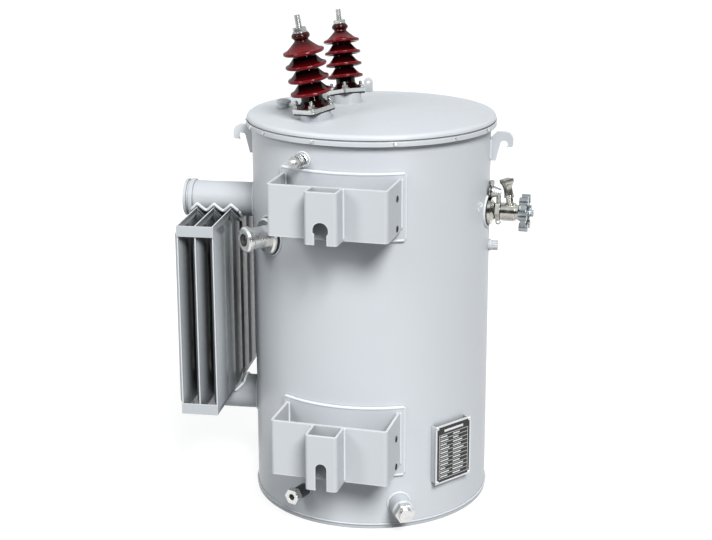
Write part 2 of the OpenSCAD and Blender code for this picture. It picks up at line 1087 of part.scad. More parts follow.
// Earth stud: chamfered boss, washer, two hexagon nuts and the threaded end
module earth_stud() {
  root = 4;
  chamfer = 3;
  washer_r = 17;
  washer_h = 3;
  first_nut = 20;
  second_nut = 32;
  color(zinc)
    difference() {
      on_wall(earth_angle, earth_z) {
        rotate_extrude()
          polygon([
            [0, -root],
            [earth_boss_r, -root],
            [earth_boss_r, earth_boss_h - chamfer],
            [earth_boss_r - chamfer, earth_boss_h],
            [0, earth_boss_h]
          ]);
        cylinder(r = earth_stud_r, h = earth_len);
        translate([0, 0, first_nut - washer_h])
          cylinder(r = washer_r, h = washer_h);
        for (z = [first_nut, second_nut])
          translate([0, 0, z])
            cylinder(r = earth_nut_r, h = earth_nut_h, $fn = 6);
      }
      tank_core();
    }
}

plug_angle = 96;
plug_z = 669;
plug_r = 13;
plug_h = 24;
plug_ribs = 12;

// Ribbed screw plug on a short boss
module side_plug() {
  root = 3;
  boss_h = 6;
  boss_over = 2;
  groove_r = 1.6;
  color(zinc)
    difference() {
      on_wall(plug_angle, plug_z) {
        translate([0, 0, -root])
          cylinder(r = plug_r + boss_over, h = root + boss_h);
        linear_extrude(plug_h)
          difference() {
            circle(r = plug_r);
            for (k = [0:plug_ribs - 1])
              rotate(k * 360 / plug_ribs)
                translate([plug_r, 0])
                  circle(r = groove_r, $fn = 24);
          }
      }
      tank_core();
    }
}

name_angle = 55;
name_z = 185;
name_off = 14;
name_t = 2;

// Nameplate bracket: a shallow tray bent from sheet, its two sides welded to the tank
module nameplate_bracket() {
  sheet = 3;
  inset = 3;
  root = 2;
  width = plate_w - 2 * inset;
  height = plate_h - 2 * inset;
  reach = name_off + tank_r - sqrt(pow(tank_r, 2) - pow(plate_w / 2, 2)) + root;
  color(paint)
    difference() {
      on_wall(name_angle, name_z)
        translate([-width / 2, -height / 2, name_off - reach])
          difference() {
            cube([width, height, reach]);
            translate([sheet, -eps, -eps])
              cube([width - 2 * sheet, height + 2 * eps, reach - sheet + eps]);
          }
      tank_core();
    }
}

module nameplate() {
  color(zinc)
    on_wall(name_angle, name_z)
      translate([-plate_w / 2, -plate_h / 2, name_off + seat])
        cube([plate_w, plate_h, name_t]);
}

low_angle = -18.5;
low_z = 84;
low_len = 40;
low_r = 16;
low_nut_r = 21;
low_nut_len = 18;
low_bore_r = 8;

module low_fitting_body() {
  root = 6;
  color(rubber)
    difference() {
      on_wall(low_angle, low_z)
        translate([0, 0, -root])
          cylinder(r = low_r, h = low_len + root);
      tank_core();
    }
}

module low_fitting_nut() {
  color(zinc)
    on_wall(low_angle, low_z)
      translate([0, 0, low_len + seat])
        difference() {
          cylinder(r = low_nut_r, h = low_nut_len, $fn = 6);
          translate([0, 0, -eps])
            cylinder(r = low_bore_r, h = low_nut_len + 2 * eps);
        }
}

drain_angle = 28;
drain_z = 66;
drain_r = 27;
drain_len = 48;
drain_hex_r = 26;
drain_hex_h = 18;
drain_head_r = 16.5;
drain_head_h = 12;

// Drain boss: a short pipe with a rounded end
module drain_boss() {
  root = 6;
  chamfer = 4;
  color(paint)
    difference() {
      on_wall(drain_angle, drain_z)
        rotate_extrude()
          polygon([
            [0, -root],
            [drain_r, -root],
            [drain_r, drain_len - chamfer],
            [drain_r - chamfer, drain_len],
            [0, drain_len]
          ]);
      tank_core();
    }
}

module drain_plug() {
  color(zinc)
    on_wall(drain_angle, drain_z)
      translate([0, 0, drain_len + seat]) {
        cylinder(r = drain_hex_r, h = drain_hex_h, $fn = 6);
        translate([0, 0, drain_hex_h])
          cylinder(r = drain_head_r, h = drain_head_h);
      }
}

lv_z = 800;
lv_step = 30;
lv_flange_r = 44;
lv_flange_t = 9;
lv_body_h = 60;
lv_foot_r = 32;
lv_foot_h = 12;
lv_waist_z = 18;
lv_shed_z = 26;
lv_shed_top = 31;
lv_neck_z = 38;
lv_core_r = 24;
lv_shed_r = 36;
lv_cap_r = 18;
lv_cap_h = 10;
lv_stud_r = 10;
lv_stud_h = 40;

// Places its child on each of the three low voltage bushings at the back of the tank
module lv_places() {
  for (k = [-1:1])
    on_wall(180 + k * lv_step, lv_z)
      children();
}

module lv_flanges() {
  root = 8;
  color(zinc)
    difference() {
      lv_places()
        translate([0, 0, -root])
          cylinder(r = lv_flange_r, h = root + lv_flange_t);
      tank_core();
    }
}

module lv_porcelains() {
  color(porcelain)
    lv_places()
      translate([0, 0, lv_flange_t + seat])
        rotate_extrude()
          polygon([
            [0, 0],
            [lv_foot_r, 0],
            [lv_foot_r, lv_foot_h],
            [lv_core_r, lv_waist_z],
            [lv_shed_r, lv_shed_z],
            [lv_shed_r, lv_shed_top],
            [lv_core_r, lv_neck_z],
            [lv_core_r, lv_body_h],
            [0, lv_body_h]
          ]);
}

module lv_terminals() {
  color(zinc)
    lv_places()
      translate([0, 0, lv_flange_t + lv_body_h + 2 * seat]) {
        cylinder(r = lv_cap_r, h = lv_cap_h);
        translate([0, 0, lv_cap_h])
          cylinder(r = lv_stud_r, h = lv_stud_h);
      }
}

tank_shell();
tank_bottom();
lid_gasket();
lid_band();
lid();
hv_necks();
hv_gaskets();
hv_flanges();
hv_porcelain_1();
hv_porcelain_2();
hv_terminals();
lid_eye();
filler_plug();
lifting_hooks();
hanger_plates();
upper_hanger_box();
upper_hanger_nose();
lower_hanger_box();
lower_hanger_nose();
upper_header();
lower_header();
header_caps();
radiator_panel_1();
radiator_panel_2();
radiator_panel_3();
radiator_ties();
valve_gasket();
valve_body();
valve_bonnet();
valve_post();
handwheel();
gland_gasket();
gland_body();
earth_stud();
side_plug();
nameplate_bracket();
nameplate();
low_fitting_body();
low_fitting_nut();
drain_boss();
drain_plug();
lv_flanges();
lv_porcelains();
lv_terminals();
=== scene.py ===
"""Looks of the pole mounted transformer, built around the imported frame."""

import json
import math
import random

import bmesh
import bpy
from mathutils import Matrix, Vector


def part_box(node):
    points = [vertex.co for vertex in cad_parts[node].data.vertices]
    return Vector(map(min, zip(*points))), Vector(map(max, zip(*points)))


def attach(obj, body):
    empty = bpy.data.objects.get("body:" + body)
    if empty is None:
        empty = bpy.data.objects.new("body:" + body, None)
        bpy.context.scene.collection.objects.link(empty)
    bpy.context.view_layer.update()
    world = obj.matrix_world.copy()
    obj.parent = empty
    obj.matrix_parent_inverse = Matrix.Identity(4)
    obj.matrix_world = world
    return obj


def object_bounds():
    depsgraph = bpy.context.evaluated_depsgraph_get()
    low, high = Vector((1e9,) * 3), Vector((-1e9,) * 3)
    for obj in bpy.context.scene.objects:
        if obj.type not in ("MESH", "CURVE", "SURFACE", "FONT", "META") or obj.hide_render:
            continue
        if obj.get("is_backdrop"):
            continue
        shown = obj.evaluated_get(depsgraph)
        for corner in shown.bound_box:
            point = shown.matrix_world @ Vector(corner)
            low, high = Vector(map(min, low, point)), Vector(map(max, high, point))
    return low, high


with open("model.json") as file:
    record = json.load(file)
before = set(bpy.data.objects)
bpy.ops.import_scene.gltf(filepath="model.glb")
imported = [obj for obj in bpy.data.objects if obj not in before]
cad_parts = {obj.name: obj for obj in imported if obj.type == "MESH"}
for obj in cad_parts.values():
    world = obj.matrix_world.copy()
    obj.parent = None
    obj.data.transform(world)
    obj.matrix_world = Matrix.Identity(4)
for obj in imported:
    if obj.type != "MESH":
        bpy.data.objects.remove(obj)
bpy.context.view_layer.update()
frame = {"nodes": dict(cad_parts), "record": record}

# Sizes in metres, in the frame of the solids

MM = 0.001
TANK_R = 305 * MM
BAND_R = 319.5 * MM
PLATE_R = 311 * MM
PLATE_HALF_CHORD = 156 * MM
PLATE_OVER = 11 * MM
PLATE_UNDER = 26 * MM
HANGER_FRONT = 405 * MM
HANGER_HALF = 147 * MM
HANGER_T = 6 * MM
NOSE_HALF = 40 * MM
RADIATOR_TURN = math.radians(6.5)
HEADER_R = 45 * MM
HEADER_ZS = (767 * MM, 231 * MM)
HEADER_END = 484 * MM
PANEL_COUNT = 3
PANEL_START = 362 * MM
PANEL_PITCH = 45 * MM
PANEL_ENDS = (753 * MM, 255 * MM)
COLLAR_HALF = 19.5 * MM
COLLAR_SLOPE = 19 / 13

# Places on the tank wall: degrees from the hanger face towards the valve, and heights

VALVE_ANGLE = 90.0
VALVE_Z = 768 * MM
GLAND_ANGLE = -40.87
GLAND_Z = 727 * MM
DRAIN_ANGLE = 28.0
DRAIN_Z = 66 * MM
LOW_FITTING_ANGLE = -18.5
LOW_FITTING_Z = 84 * MM
EARTH_ANGLE = -17.5
EARTH_Z = 939 * MM
LV_ANGLES = (150, 180, 210)
LV_Z = 800 * MM
NAMEPLATE_ANGLE = 55
NAMEPLATE_Z = 185 * MM

TANK_BODY = "transformer"
UP = (0.0, 0.0, 1.0)

dice = random.Random(11)
mounts = {m["name"]: m for m in frame["record"]["mounts"]}


# Materials: short ways to build node trees

NOISE_ROUGHNESS = 0.55
BUMP_DEPTH = 1 * MM
EDGE_COS_SHARP = 0.80
EDGE_COS_FLAT = 0.99
CORNER_DARK = 0.20
CORNER_OPEN = 0.70


class Graph:
    """A material with a Principled shader and short ways to add nodes to it."""

    def __init__(self, name):
        self.material = bpy.data.materials.new(name)
        self.material.use_nodes = True
        self.tree = self.material.node_tree
        self.shader = self.tree.nodes["Principled BSDF"]
        self.place = self.add("ShaderNodeTexCoord").outputs["Object"]

    def add(self, kind, **values):
        node = self.tree.nodes.new(kind)
        for key, value in values.items():
            setattr(node, key, value)
        return node

    def link(self, out, socket):
        self.tree.links.new(out, socket)

    def feed(self, node, socket, value):
        if isinstance(value, bpy.types.NodeSocket):
            self.link(value, node.inputs[socket])
        else:
            node.inputs[socket].default_value = value

    def noise(self, scale, detail=4.0, stretch=None):
        node = self.add("ShaderNodeTexNoise")
        node.inputs["Scale"].default_value = scale
        node.inputs["Detail"].default_value = detail
        node.inputs["Roughness"].default_value = NOISE_ROUGHNESS
        source = self.place
        if stretch:
            mapping = self.add("ShaderNodeMapping")
            mapping.inputs["Scale"].default_value = stretch
            self.link(source, mapping.inputs["Vector"])
            source = mapping.outputs["Vector"]
        self.link(source, node.inputs["Vector"])
        return node.outputs["Fac"]

    def ramp(self, value, stops):
        node = self.add("ShaderNodeValToRGB")
        ramp = node.color_ramp
        while len(ramp.elements) < len(stops):
            ramp.elements.new(0.5)
        for element, (at, shade) in zip(ramp.elements, stops):
            element.position = at
            element.color = (*shade, 1.0)
        self.link(value, node.inputs["Fac"])
        return node.outputs["Color"]

    def two_tone(self, value, dark, light, start=0.3, end=0.7):
        return self.ramp(value, ((start, dark), (end, light)))

    def remap(self, value, low, high, start=0.3, end=0.7):
        node = self.add("ShaderNodeMapRange")
        for socket, number in zip(("From Min", "From Max", "To Min", "To Max"),
                                  (start, end, low, high)):
            node.inputs[socket].default_value = number
        self.link(value, node.inputs["Value"])
        return node.outputs["Result"]

    def mix(self, factor, first, second):
        node = self.add("ShaderNodeMix", data_type="RGBA")
        for socket, value in ((0, factor), (6, first), (7, second)):
            if isinstance(value, tuple):
                value = (*value, 1.0)
            self.feed(node, socket, value)
        return node.outputs[2]

    def scaled(self, value, by):
        node = self.add("ShaderNodeMath", operation="MULTIPLY")
        self.link(value, node.inputs[0])
        node.inputs[1].default_value = by
        return node.outputs["Value"]

    def vector_math(self, operation, first, second=None):
        """A vector, or one number for a length or a dot product."""
        node = self.add("ShaderNodeVectorMath", operation=operation)
        self.link(first, node.inputs[0])
        if second is not None:
            self.feed(node, 1, second)
        is_number = operation in ("LENGTH", "DOT_PRODUCT")
        return node.outputs["Value" if is_number else "Vector"]

    def wear_and_highlight(self, base, width, share, shade):
        """Brings in a shade along edges, within the width given; in use a lighter one, partly wear and
        partly painted highlight.
        """
        bevel = self.add("ShaderNodeBevel", samples=4)
        bevel.inputs["Radius"].default_value = width
        plain = self.add("ShaderNodeNewGeometry").outputs["Normal"]
        bend = self.vector_math("DOT_PRODUCT", bevel.outputs["Normal"], plain)
        mask = self.remap(bend, low=1.0, high=0.0, start=EDGE_COS_SHARP, end=EDGE_COS_FLAT)
        return self.mix(self.scaled(mask, share), base, shade)

    def painted_shade(self, base, reach, share, shade):
        """Paints shade in corners and under ledges, within the reach given, where ambient occlusion finds
        them.
        """
        node = self.add("ShaderNodeAmbientOcclusion", samples=6)
        node.inputs["Distance"].default_value = reach
        mask = self.remap(node.outputs["AO"], low=1.0, high=0.0, start=CORNER_DARK, end=CORNER_OPEN)
        return self.mix(self.scaled(mask, share), base, shade)

    def bump(self, *layers):
        """Adds bump layers, each a height and its strength."""
        normal = None
        for height, strength in layers:
            node = self.add("ShaderNodeBump")
            node.inputs["Strength"].default_value = strength
            node.inputs["Distance"].default_value = BUMP_DEPTH
            self.link(height, node.inputs["Height"])
            if normal is not None:
                self.link(normal, node.inputs["Normal"])
            normal = node.outputs["Normal"]
        self.link(normal, self.shader.inputs["Normal"])

    def set(self, **values):
        for key, value in values.items():
            self.feed(self.shader, key.replace("_", " "), value)


# Materials: paint

PAINT_DARK = (0.590, 0.618, 0.650)
PAINT_LIGHT = (0.606, 0.634, 0.665)
PAINT_DUST = (0.50, 0.52, 0.53)
# The next two colours: painted shade for corners and under ledges, and a bright edge colour that is partly
# wear and partly painted highlight
PAINT_SHADE = (0.030, 0.036, 0.037)
PAINT_WEAR_AND_HIGHLIGHT = (0.86, 0.87, 0.88)


def toned(shade, tone):
    return tuple(tone * part for part in shade)


def make_paint(name, shade_reach, shade_share, tone=1.0, edge=2.6 * MM):
    """Light grey gloss paint: even, with faint cloudiness, painted shade in corners and under ledges, and
    bright edges that are partly wear and partly painted highlight; a tone under or over 1 makes a darker
    or lighter copy that paints shade or light.
    """
    g = Graph(name)
    patches = g.noise(scale=1.6)
    dust = g.noise(scale=60.0)
    base = g.two_tone(patches, toned(PAINT_DARK, tone), toned(PAINT_LIGHT, tone))
    base = g.mix(g.remap(dust, low=0.0, high=0.06, start=0.50, end=0.80), base, PAINT_DUST)
    base = g.painted_shade(base, reach=shade_reach, share=shade_share, shade=PAINT_SHADE)
    base = g.wear_and_highlight(base, width=edge, share=0.85, shade=PAINT_WEAR_AND_HIGHLIGHT)
    peel = g.noise(scale=360.0, detail=2.0)
    waves = g.noise(scale=7.0, detail=2.0)
    g.set(Base_Color=base, Roughness=g.remap(dust, low=0.32, high=0.40), IOR=1.4)
    g.bump((waves, 0.03), (peel, 0.035))
    return g.material


# Materials: metals

# For each metal, the near black colour is painted shade for corners and hollows, and the palest colour is
# for edges, partly wear and partly painted highlight
ZINC_SHADE = (0.02, 0.02, 0.019)
ZINC_WEAR_AND_HIGHLIGHT = (0.93, 0.93, 0.92)
BRONZE_DARK = (0.44, 0.42, 0.38)
BRONZE_LIGHT = (0.66, 0.64, 0.59)
BRONZE_SHADE = (0.018, 0.017, 0.015)
BRONZE_WEAR_AND_HIGHLIGHT = (0.92, 0.91, 0.87)
CASTING_DARK = (0.24, 0.26, 0.275)
CASTING_LIGHT = (0.40, 0.425, 0.44)
CASTING_SHADE = (0.015, 0.017, 0.018)
CASTING_WEAR_AND_HIGHLIGHT = (0.74, 0.77, 0.80)
ALUMINIUM_DARK = (0.68, 0.685, 0.69)
ALUMINIUM_LIGHT = (0.80, 0.805, 0.81)
ALUMINIUM_WEAR_AND_HIGHLIGHT = (0.90, 0.90, 0.90)


def make_zinc(name, dark, light):
    """Plated steel with soft grain, painted shade in its corners, and bright edges that are partly wear
    and partly painted highlight.
    """
    g = Graph(name)
    patches = g.noise(scale=60.0)
    base = g.two_tone(patches, (dark, dark, 0.99 * dark), (light, light, 0.98 * light))
    base = g.painted_shade(base, reach=8 * MM, share=0.92, shade=ZINC_SHADE)
    base = g.wear_and_highlight(base, width=1 * MM, share=0.7, shade=ZINC_WEAR_AND_HIGHLIGHT)
    scratches = g.noise(scale=500.0, detail=2.0, stretch=(1.0, 1.0, 8.0))
    g.set(Base_Color=base, Metallic=0.95, Roughness=g.remap(patches, low=0.22, high=0.36))
    g.bump((patches, 0.02), (scratches, 0.008))
    return g.material


def make_valve_metal():
    """Plated bronze: polished high spots over dull recesses; painted shade darkens the recesses, and its
    bright edges are partly wear and partly painted highlight.
    """
    g = Graph("plated_bronze")
    patches = g.noise(scale=45.0, detail=5.0)
    base = g.two_tone(patches, BRONZE_DARK, BRONZE_LIGHT, end=0.72)
    base = g.painted_shade(base, reach=10 * MM, share=0.95, shade=BRONZE_SHADE)
    base = g.wear_and_highlight(base, width=1.2 * MM, share=0.7, shade=BRONZE_WEAR_AND_HIGHLIGHT)
    grain = g.noise(scale=380.0, detail=3.0)
    g.set(Base_Color=base, Metallic=1.0, Roughness=g.remap(patches, low=0.13, high=0.30))
    g.bump((patches, 0.05), (grain, 0.03))
    return g.material


def make_casting():
    """Blue grey painted casting with a sandy skin and rubbed lobes; painted shade darkens its hollows, and
    its bright edges are partly wear and partly painted highlight.
    """
    g = Graph("wheel_casting")
    patches = g.noise(scale=40.0, detail=5.0)
    base = g.two_tone(patches, CASTING_DARK, CASTING_LIGHT)
    base = g.painted_shade(base, reach=14 * MM, share=0.95, shade=CASTING_SHADE)
    base = g.wear_and_highlight(base, width=1.8 * MM, share=0.75, shade=CASTING_WEAR_AND_HIGHLIGHT)
    sand = g.noise(scale=300.0, detail=3.0)
    g.set(Base_Color=base, Metallic=0.88, Roughness=g.remap(patches, low=0.20, high=0.34))
    g.bump((patches, 0.15), (sand, 0.14))
    return g.material


def make_plate_metal():
    """Brushed aluminium of the nameplate, with bright edges that are partly wear and partly painted
    highlight.
    """
    g = Graph("plate_aluminium")
    brush = g.noise(scale=140.0, detail=3.0, stretch=(1.0, 1.0, 14.0))
    base = g.two_tone(brush, ALUMINIUM_DARK, ALUMINIUM_LIGHT)
    base = g.wear_and_highlight(base, width=1 * MM, share=0.5, shade=ALUMINIUM_WEAR_AND_HIGHLIGHT)
    g.set(Base_Color=base, Metallic=0.55, Roughness=g.remap(brush, low=0.30, high=0.45))
    g.bump((brush, 0.08))
    return g.material


# Materials: rubber, dark field and glaze

# How much paler rubber edges are, partly wear and partly painted highlight
RUBBER_WEAR_AND_HIGHLIGHT = 0.05
FIELD_DARK = (0.006, 0.006, 0.007)
FIELD_LIGHT = (0.022, 0.022, 0.023)
# From the core to the shed rims: the near black at the core is painted shade, the deep red at the rims is
# the glaze's own colour
GLAZE_SHADE_STOPS = (
    (0.0, (0.005, 0.0008, 0.0008)),
    (0.50, (0.012, 0.0010, 0.0012)),
    (0.80, (0.075, 0.0015, 0.0030)),
    (1.0, (0.165, 0.0025, 0.0060)),
)
# The crown: a lighter red on the top shed, painted light from above
CROWN_LIGHT_STOPS = (
    (0.0, (0.040, 0.0012, 0.0016)),
    (0.25, (0.120, 0.0025, 0.0045)),
    (1.0, (0.175, 0.0030, 0.0065)),
)
GLAZE_SPOTS = (0.012, 0.0012, 0.0012)
CROWN_LOW = -78 * MM
CROWN_HIGH = -66 * MM


def make_rubber(name, dark, light):
    """Matt rubber, a little paler along its edges: partly wear and partly painted highlight."""
    g = Graph(name)
    patches = g.noise(scale=90.0)
    base = g.two_tone(patches, (dark, dark, dark), (light, light, light))
    pale = light + RUBBER_WEAR_AND_HIGHLIGHT
    base = g.wear_and_highlight(base, width=1 * MM, share=0.4, shade=(pale, pale, pale))
    g.set(Base_Color=base, Roughness=g.remap(patches, low=0.45, high=0.65))
    g.bump((g.noise(scale=500.0, detail=2.0), 0.15))
    return g.material


def make_plate_field():
    """Dark printed field of the nameplate."""
    g = Graph("plate_dark_field")
    wear = g.noise(scale=120.0, detail=5.0)
    base = g.two_tone(wear, FIELD_DARK, FIELD_LIGHT, start=0.35, end=0.75)
    g.set(Base_Color=base, Roughness=g.remap(wear, low=0.32, high=0.48))
    g.bump((g.noise(scale=600.0, detail=2.0), 0.08))
    return g.material


def make_porcelain(name, at, axis, core, rim):
    """Deep red glaze, darkened to near black towards the core as painted shade, with a lighter red crown
    painted as light from above.
    """
    g = Graph(name)
    offset = g.vector_math("SUBTRACT", g.place, at)
    reach = g.vector_math("LENGTH", g.vector_math("CROSS_PRODUCT", offset, axis))
    depth = g.remap(reach, low=0.0, high=1.0, start=core, end=rim)
    base = g.ramp(depth, GLAZE_SHADE_STOPS)
    crown = g.ramp(depth, CROWN_LIGHT_STOPS)
    level = g.vector_math("DOT_PRODUCT", offset, axis)
    base = g.mix(g.remap(level, low=0.0, high=1.0, start=CROWN_LOW, end=CROWN_HIGH), base, crown)
    mottle = g.noise(scale=70.0, detail=5.0)
    base = g.mix(g.remap(mottle, low=0.0, high=0.45, start=0.45, end=0.75), base, GLAZE_SPOTS)
    g.set(Base_Color=base, Roughness=g.remap(mottle, low=0.04, high=0.08), IOR=1.31)
    g.bump((g.noise(scale=55.0, detail=2.0), 0.04))
    return g.material


# The finishes in use

HV_GLAZE_CORE = 24 * MM
HV_GLAZE_RIMS = (50.5 * MM, 45.9 * MM)
LV_GLAZE_AT = (0.0, 0.0, 1.0)
LV_GLAZE_CORE = 300 * MM
LV_GLAZE_RIM = 380 * MM

# Copies of the paint. The grey paint has painted shade under ledges and in corners. Panel paint paints
# shade far into the gaps between radiator panels and towards the tank; sheet paint is a slightly darker
# copy with painted shade in the hanger pockets and wider painted edge highlights; header paint is a darker
# copy, painted shade on the headers, ties, bushing necks and lid eye; bead paint is a lighter copy, a
# painted highlight on the weld beads.
paint = make_paint("grey_paint", shade_reach=34 * MM, shade_share=0.62)
panel_paint = make_paint("panel_paint", shade_reach=220 * MM, shade_share=0.96)
sheet_paint = make_paint("sheet_paint", shade_reach=120 * MM, shade_share=0.42, tone=0.95, edge=6 * MM)
shaded_paint = make_paint("shaded_paint", shade_reach=100 * MM, shade_share=0.75, tone=0.82)
highlit_bead_paint = make_paint("highlit_bead_paint", shade_reach=6 * MM, shade_share=0.25, tone=1.18)
zinc = make_zinc("zinc_plate", dark=0.66, light=0.76)
steel = make_zinc("bare_steel", dark=0.36, light=0.52)
valve_metal = make_valve_metal()
casting = make_casting()
rubber = make_rubber("black_rubber", dark=0.006, light=0.018)
grey_rubber = make_rubber("grey_rubber", dark=0.16, light=0.24)
fitting_rubber = make_rubber("fitting_rubber", dark=0.045, light=0.085)
plate_metal = make_plate_metal()
plate_field = make_plate_field()
hv_studs = [mounts["hv_stud_1"], mounts["hv_stud_2"]]
hv_glazes = [
    make_porcelain("glaze_%d" % i, stud["pos_m"], stud["axis"], HV_GLAZE_CORE, rim)
    for i, (stud, rim) in enumerate(zip(hv_studs, HV_GLAZE_RIMS), 1)
]
lv_glaze = make_porcelain("glaze_low", LV_GLAZE_AT, UP, LV_GLAZE_CORE, LV_GLAZE_RIM)

FINISHES = {
    "tank_paint": paint,
    "gasket_rubber": rubber,
    "zinc_steel": zinc,
    "valve_metal": valve_metal,
    "wheel_iron": casting,
    "plate_metal": plate_metal,
}
NODE_FINISHES = {
    "hv_porcelain_1": hv_glazes[0],
    "hv_porcelain_2": hv_glazes[1],
    "lv_porcelains": lv_glaze,
    "side_plug": paint,
    "hv_necks": shaded_paint,
    "hv_terminals": steel,
    "lv_terminals": steel,
    "valve_bonnet": steel,
    "lid_eye": shaded_paint,
    "lid_gasket": grey_rubber,
    "low_fitting_body": fitting_rubber,
    "upper_header": shaded_paint,
    "lower_header": shaded_paint,
    "header_caps": shaded_paint,
    "radiator_ties": shaded_paint,
    "hanger_plates": sheet_paint,
    "upper_hanger_box": sheet_paint,
    "lower_hanger_box": sheet_paint,
    "upper_hanger_nose": sheet_paint,
    "lower_hanger_nose": sheet_paint,
    "radiator_panel_1": panel_paint,
    "radiator_panel_2": panel_paint,
    "radiator_panel_3": panel_paint,
}


# The solids: finish and softened edges, with edge widths in millimetres

EDGE_WIDTHS = {
    "tank_bottom": 0.8, "lid_band": 1.2, "hanger_plates": 1.2, "upper_hanger_box": 1.2,
    "lower_hanger_box": 1.2, "upper_hanger_nose": 1.2, "lower_hanger_nose": 1.2,
    "lifting_hooks": 1.6, "lid_eye": 1.4, "header_caps": 1.6, "radiator_ties": 0.8,
    "hv_flanges": 1.4, "hv_terminals": 1.0, "handwheel": 2.2, "valve_body": 0.9,
    "valve_post": 1.2, "valve_bonnet": 0.7, "gland_body": 1.0, "earth_stud": 0.8,
    "side_plug": 0.5, "nameplate": 0.5, "nameplate_bracket": 0.7, "low_fitting_nut": 1.2,
    "drain_boss": 1.2, "drain_plug": 1.4, "lv_flanges": 1.0, "lv_terminals": 1.0,
    "lv_porcelains": 3.0, "filler_plug": 1.2,
}
WELD_GAP = 0.02 * MM
FLAT_ANGLE = math.radians(0.6)
BEVEL_ANGLE = math.radians(34)
CREASE_ANGLE = math.radians(50)


def soften(piece, width):
    """Smooth shading with rounded edges, without touching the piece's own vertices."""
    for face in piece.data.polygons:
        face.use_smooth = True
    weld = piece.modifiers.new("weld", "WELD")
    weld.merge_threshold = WELD_GAP
    if width:
        flat = piece.modifiers.new("flats", "DECIMATE")
        flat.decimate_type = "DISSOLVE"
        flat.angle_limit = FLAT_ANGLE
        bevel = piece.modifiers.new("edges", "BEVEL")
        bevel.width = width * MM
        bevel.segments = 2
        bevel.limit_method = "ANGLE"
        bevel.angle_limit = BEVEL_ANGLE
        bevel.miter_outer = "MITER_ARC"
    split = piece.modifiers.new("creases", "EDGE_SPLIT")
    split.split_angle = CREASE_ANGLE
    piece.modifiers.new("normals", "WEIGHTED_NORMAL").keep_sharp = True


def clear_given_normals(piece):
    if piece.data.has_custom_normals:
        with bpy.context.temp_override(object=piece, active_object=piece):
            bpy.ops.mesh.customdata_custom_splitnormals_clear()


slot_of = {s["node"]: s["material_slot"] for s in frame["record"]["subparts"]}
for name, node in frame["nodes"].items():
    node.data.materials.clear()
    node.data.materials.append(NODE_FINISHES.get(name) or FINISHES[slot_of[name]])
    clear_given_normals(node)
    soften(node, EDGE_WIDTHS.get(name, 0))


# Building blocks for added pieces

TINY = 1e-6
POINT_R = 0.02 * MM
FINE_COUNT = 32
WASHER_COUNT = 40


def add_piece(name, bm, finish, body=TANK_BODY, width=0.0):
    """Makes the piece, with its edges rounded to a width in millimetres, and puts it on its body."""
    mesh = bpy.data.meshes.new(name)
    bm.normal_update()
    bm.to_mesh(mesh)
    bm.free()
    piece = bpy.data.objects.new(name, mesh)
    bpy.context.scene.collection.objects.link(piece)
    mesh.materials.append(finish)
    soften(piece, width)
    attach(piece, body)
    return piece


def frame_at(at, axis, up=UP):
    """Matrix with local Z along the axis and local Y as near to up as it can be."""
    z = Vector(axis).normalized()
    y = Vector(up) - z * Vector(up).dot(z)
    y = y.normalized() if y.length > TINY else Vector((0.0, 1.0, 0.0))
    x = y.cross(z)
    return Matrix.Translation(Vector(at)) @ Matrix((x, y, z)).transposed().to_4x4()


def wall_at(angle, z, off=0.0):
    """Matrix on the tank wall with local Z pointing outwards."""
    a = math.radians(angle)
    out = Vector((math.sin(a), -math.cos(a), 0.0))
    return frame_at(out * (TANK_R + off) + Vector((0.0, 0.0, z)), out)


def add_rings(bm, rings, closed=False):
    """Joins rings of points with quads and caps the ends of an open run."""
    made = [[bm.verts.new(p) for p in ring] for ring in rings]
    count = len(made[0])
    pairs = zip(made, made[1:] + made[:1]) if closed else zip(made, made[1:])
    for low, high in pairs:
        for k in range(count):
            n = (k + 1) % count
            bm.faces.new((low[k], low[n], high[n], high[k]))
    if not closed:
        bm.faces.new(list(reversed(made[0])))
        bm.faces.new(made[-1])


def circle(radius, z, matrix, count=FINE_COUNT, turn=0.0):
    return [matrix @ Vector((radius * math.cos(turn + math.tau * k / count),
                             radius * math.sin(turn + math.tau * k / count), z))
            for k in range(count)]


def add_lathe(bm, profile, matrix, count):
    """Solid of revolution from a profile of (radius, height) points."""
    add_rings(bm, [circle(max(r, POINT_R), z, matrix, count) for r, z in profile])


def add_washer(bm, matrix, inner, outer, start, end):
    profile = [(inner, start), (outer, start), (outer, end), (inner, end)]
    add_lathe(bm, profile, matrix, WASHER_COUNT)


def add_slab(bm, matrix, left, right, low, high, thick):
    corners = [(left, low), (right, low), (right, high), (left, high)]
    add_rings(bm, [[matrix @ Vector((x, y, z)) for x, y in corners] for z in (0.0, thick)])


# Building blocks: bolts and threads, in shares of the head's size and of the pitch

BOLT_WASHER_H = 0.22
BOLT_WASHER_R = 1.22
BOLT_WASHER_TOP_R = 1.15
BOLT_WASHER_WALL = 0.8
BOLT_WASHER_COUNT = 28
BOLT_SIDES = 6
BOLT_SHOULDER_H = 0.86
BOLT_TOP_R = 0.86
BOLT_END_R = 0.55
BOLT_END_START = 0.9
THREAD_DEPTH = 0.55
THREAD_TIP = 1.2
THREAD_STEPS = 6
THREAD_STEPS_MIN = 8


def add_thread(bm, matrix, radius, start, end, pitch=1.8 * MM, count=24):
    """Screw thread as a winding surface between two heights, with a chamfered tip."""
    depth = THREAD_DEPTH * pitch
    steps = max(THREAD_STEPS_MIN, int((end - start) / pitch * THREAD_STEPS))
    rings = []
    for s in range(steps + 1):
        z = start + (end - start) * s / steps
        tip = max(0.0, 1.0 - (end - z) / (THREAD_TIP * pitch))
        ring = []
        for k in range(count):
            phase = (z / pitch - k / count) % 1.0
            r = radius - depth * abs(2.0 * phase - 1.0) - depth * tip
            a = math.tau * k / count
            ring.append(matrix @ Vector((r * math.cos(a), r * math.sin(a), z)))
        rings.append(ring)
    add_rings(bm, rings)


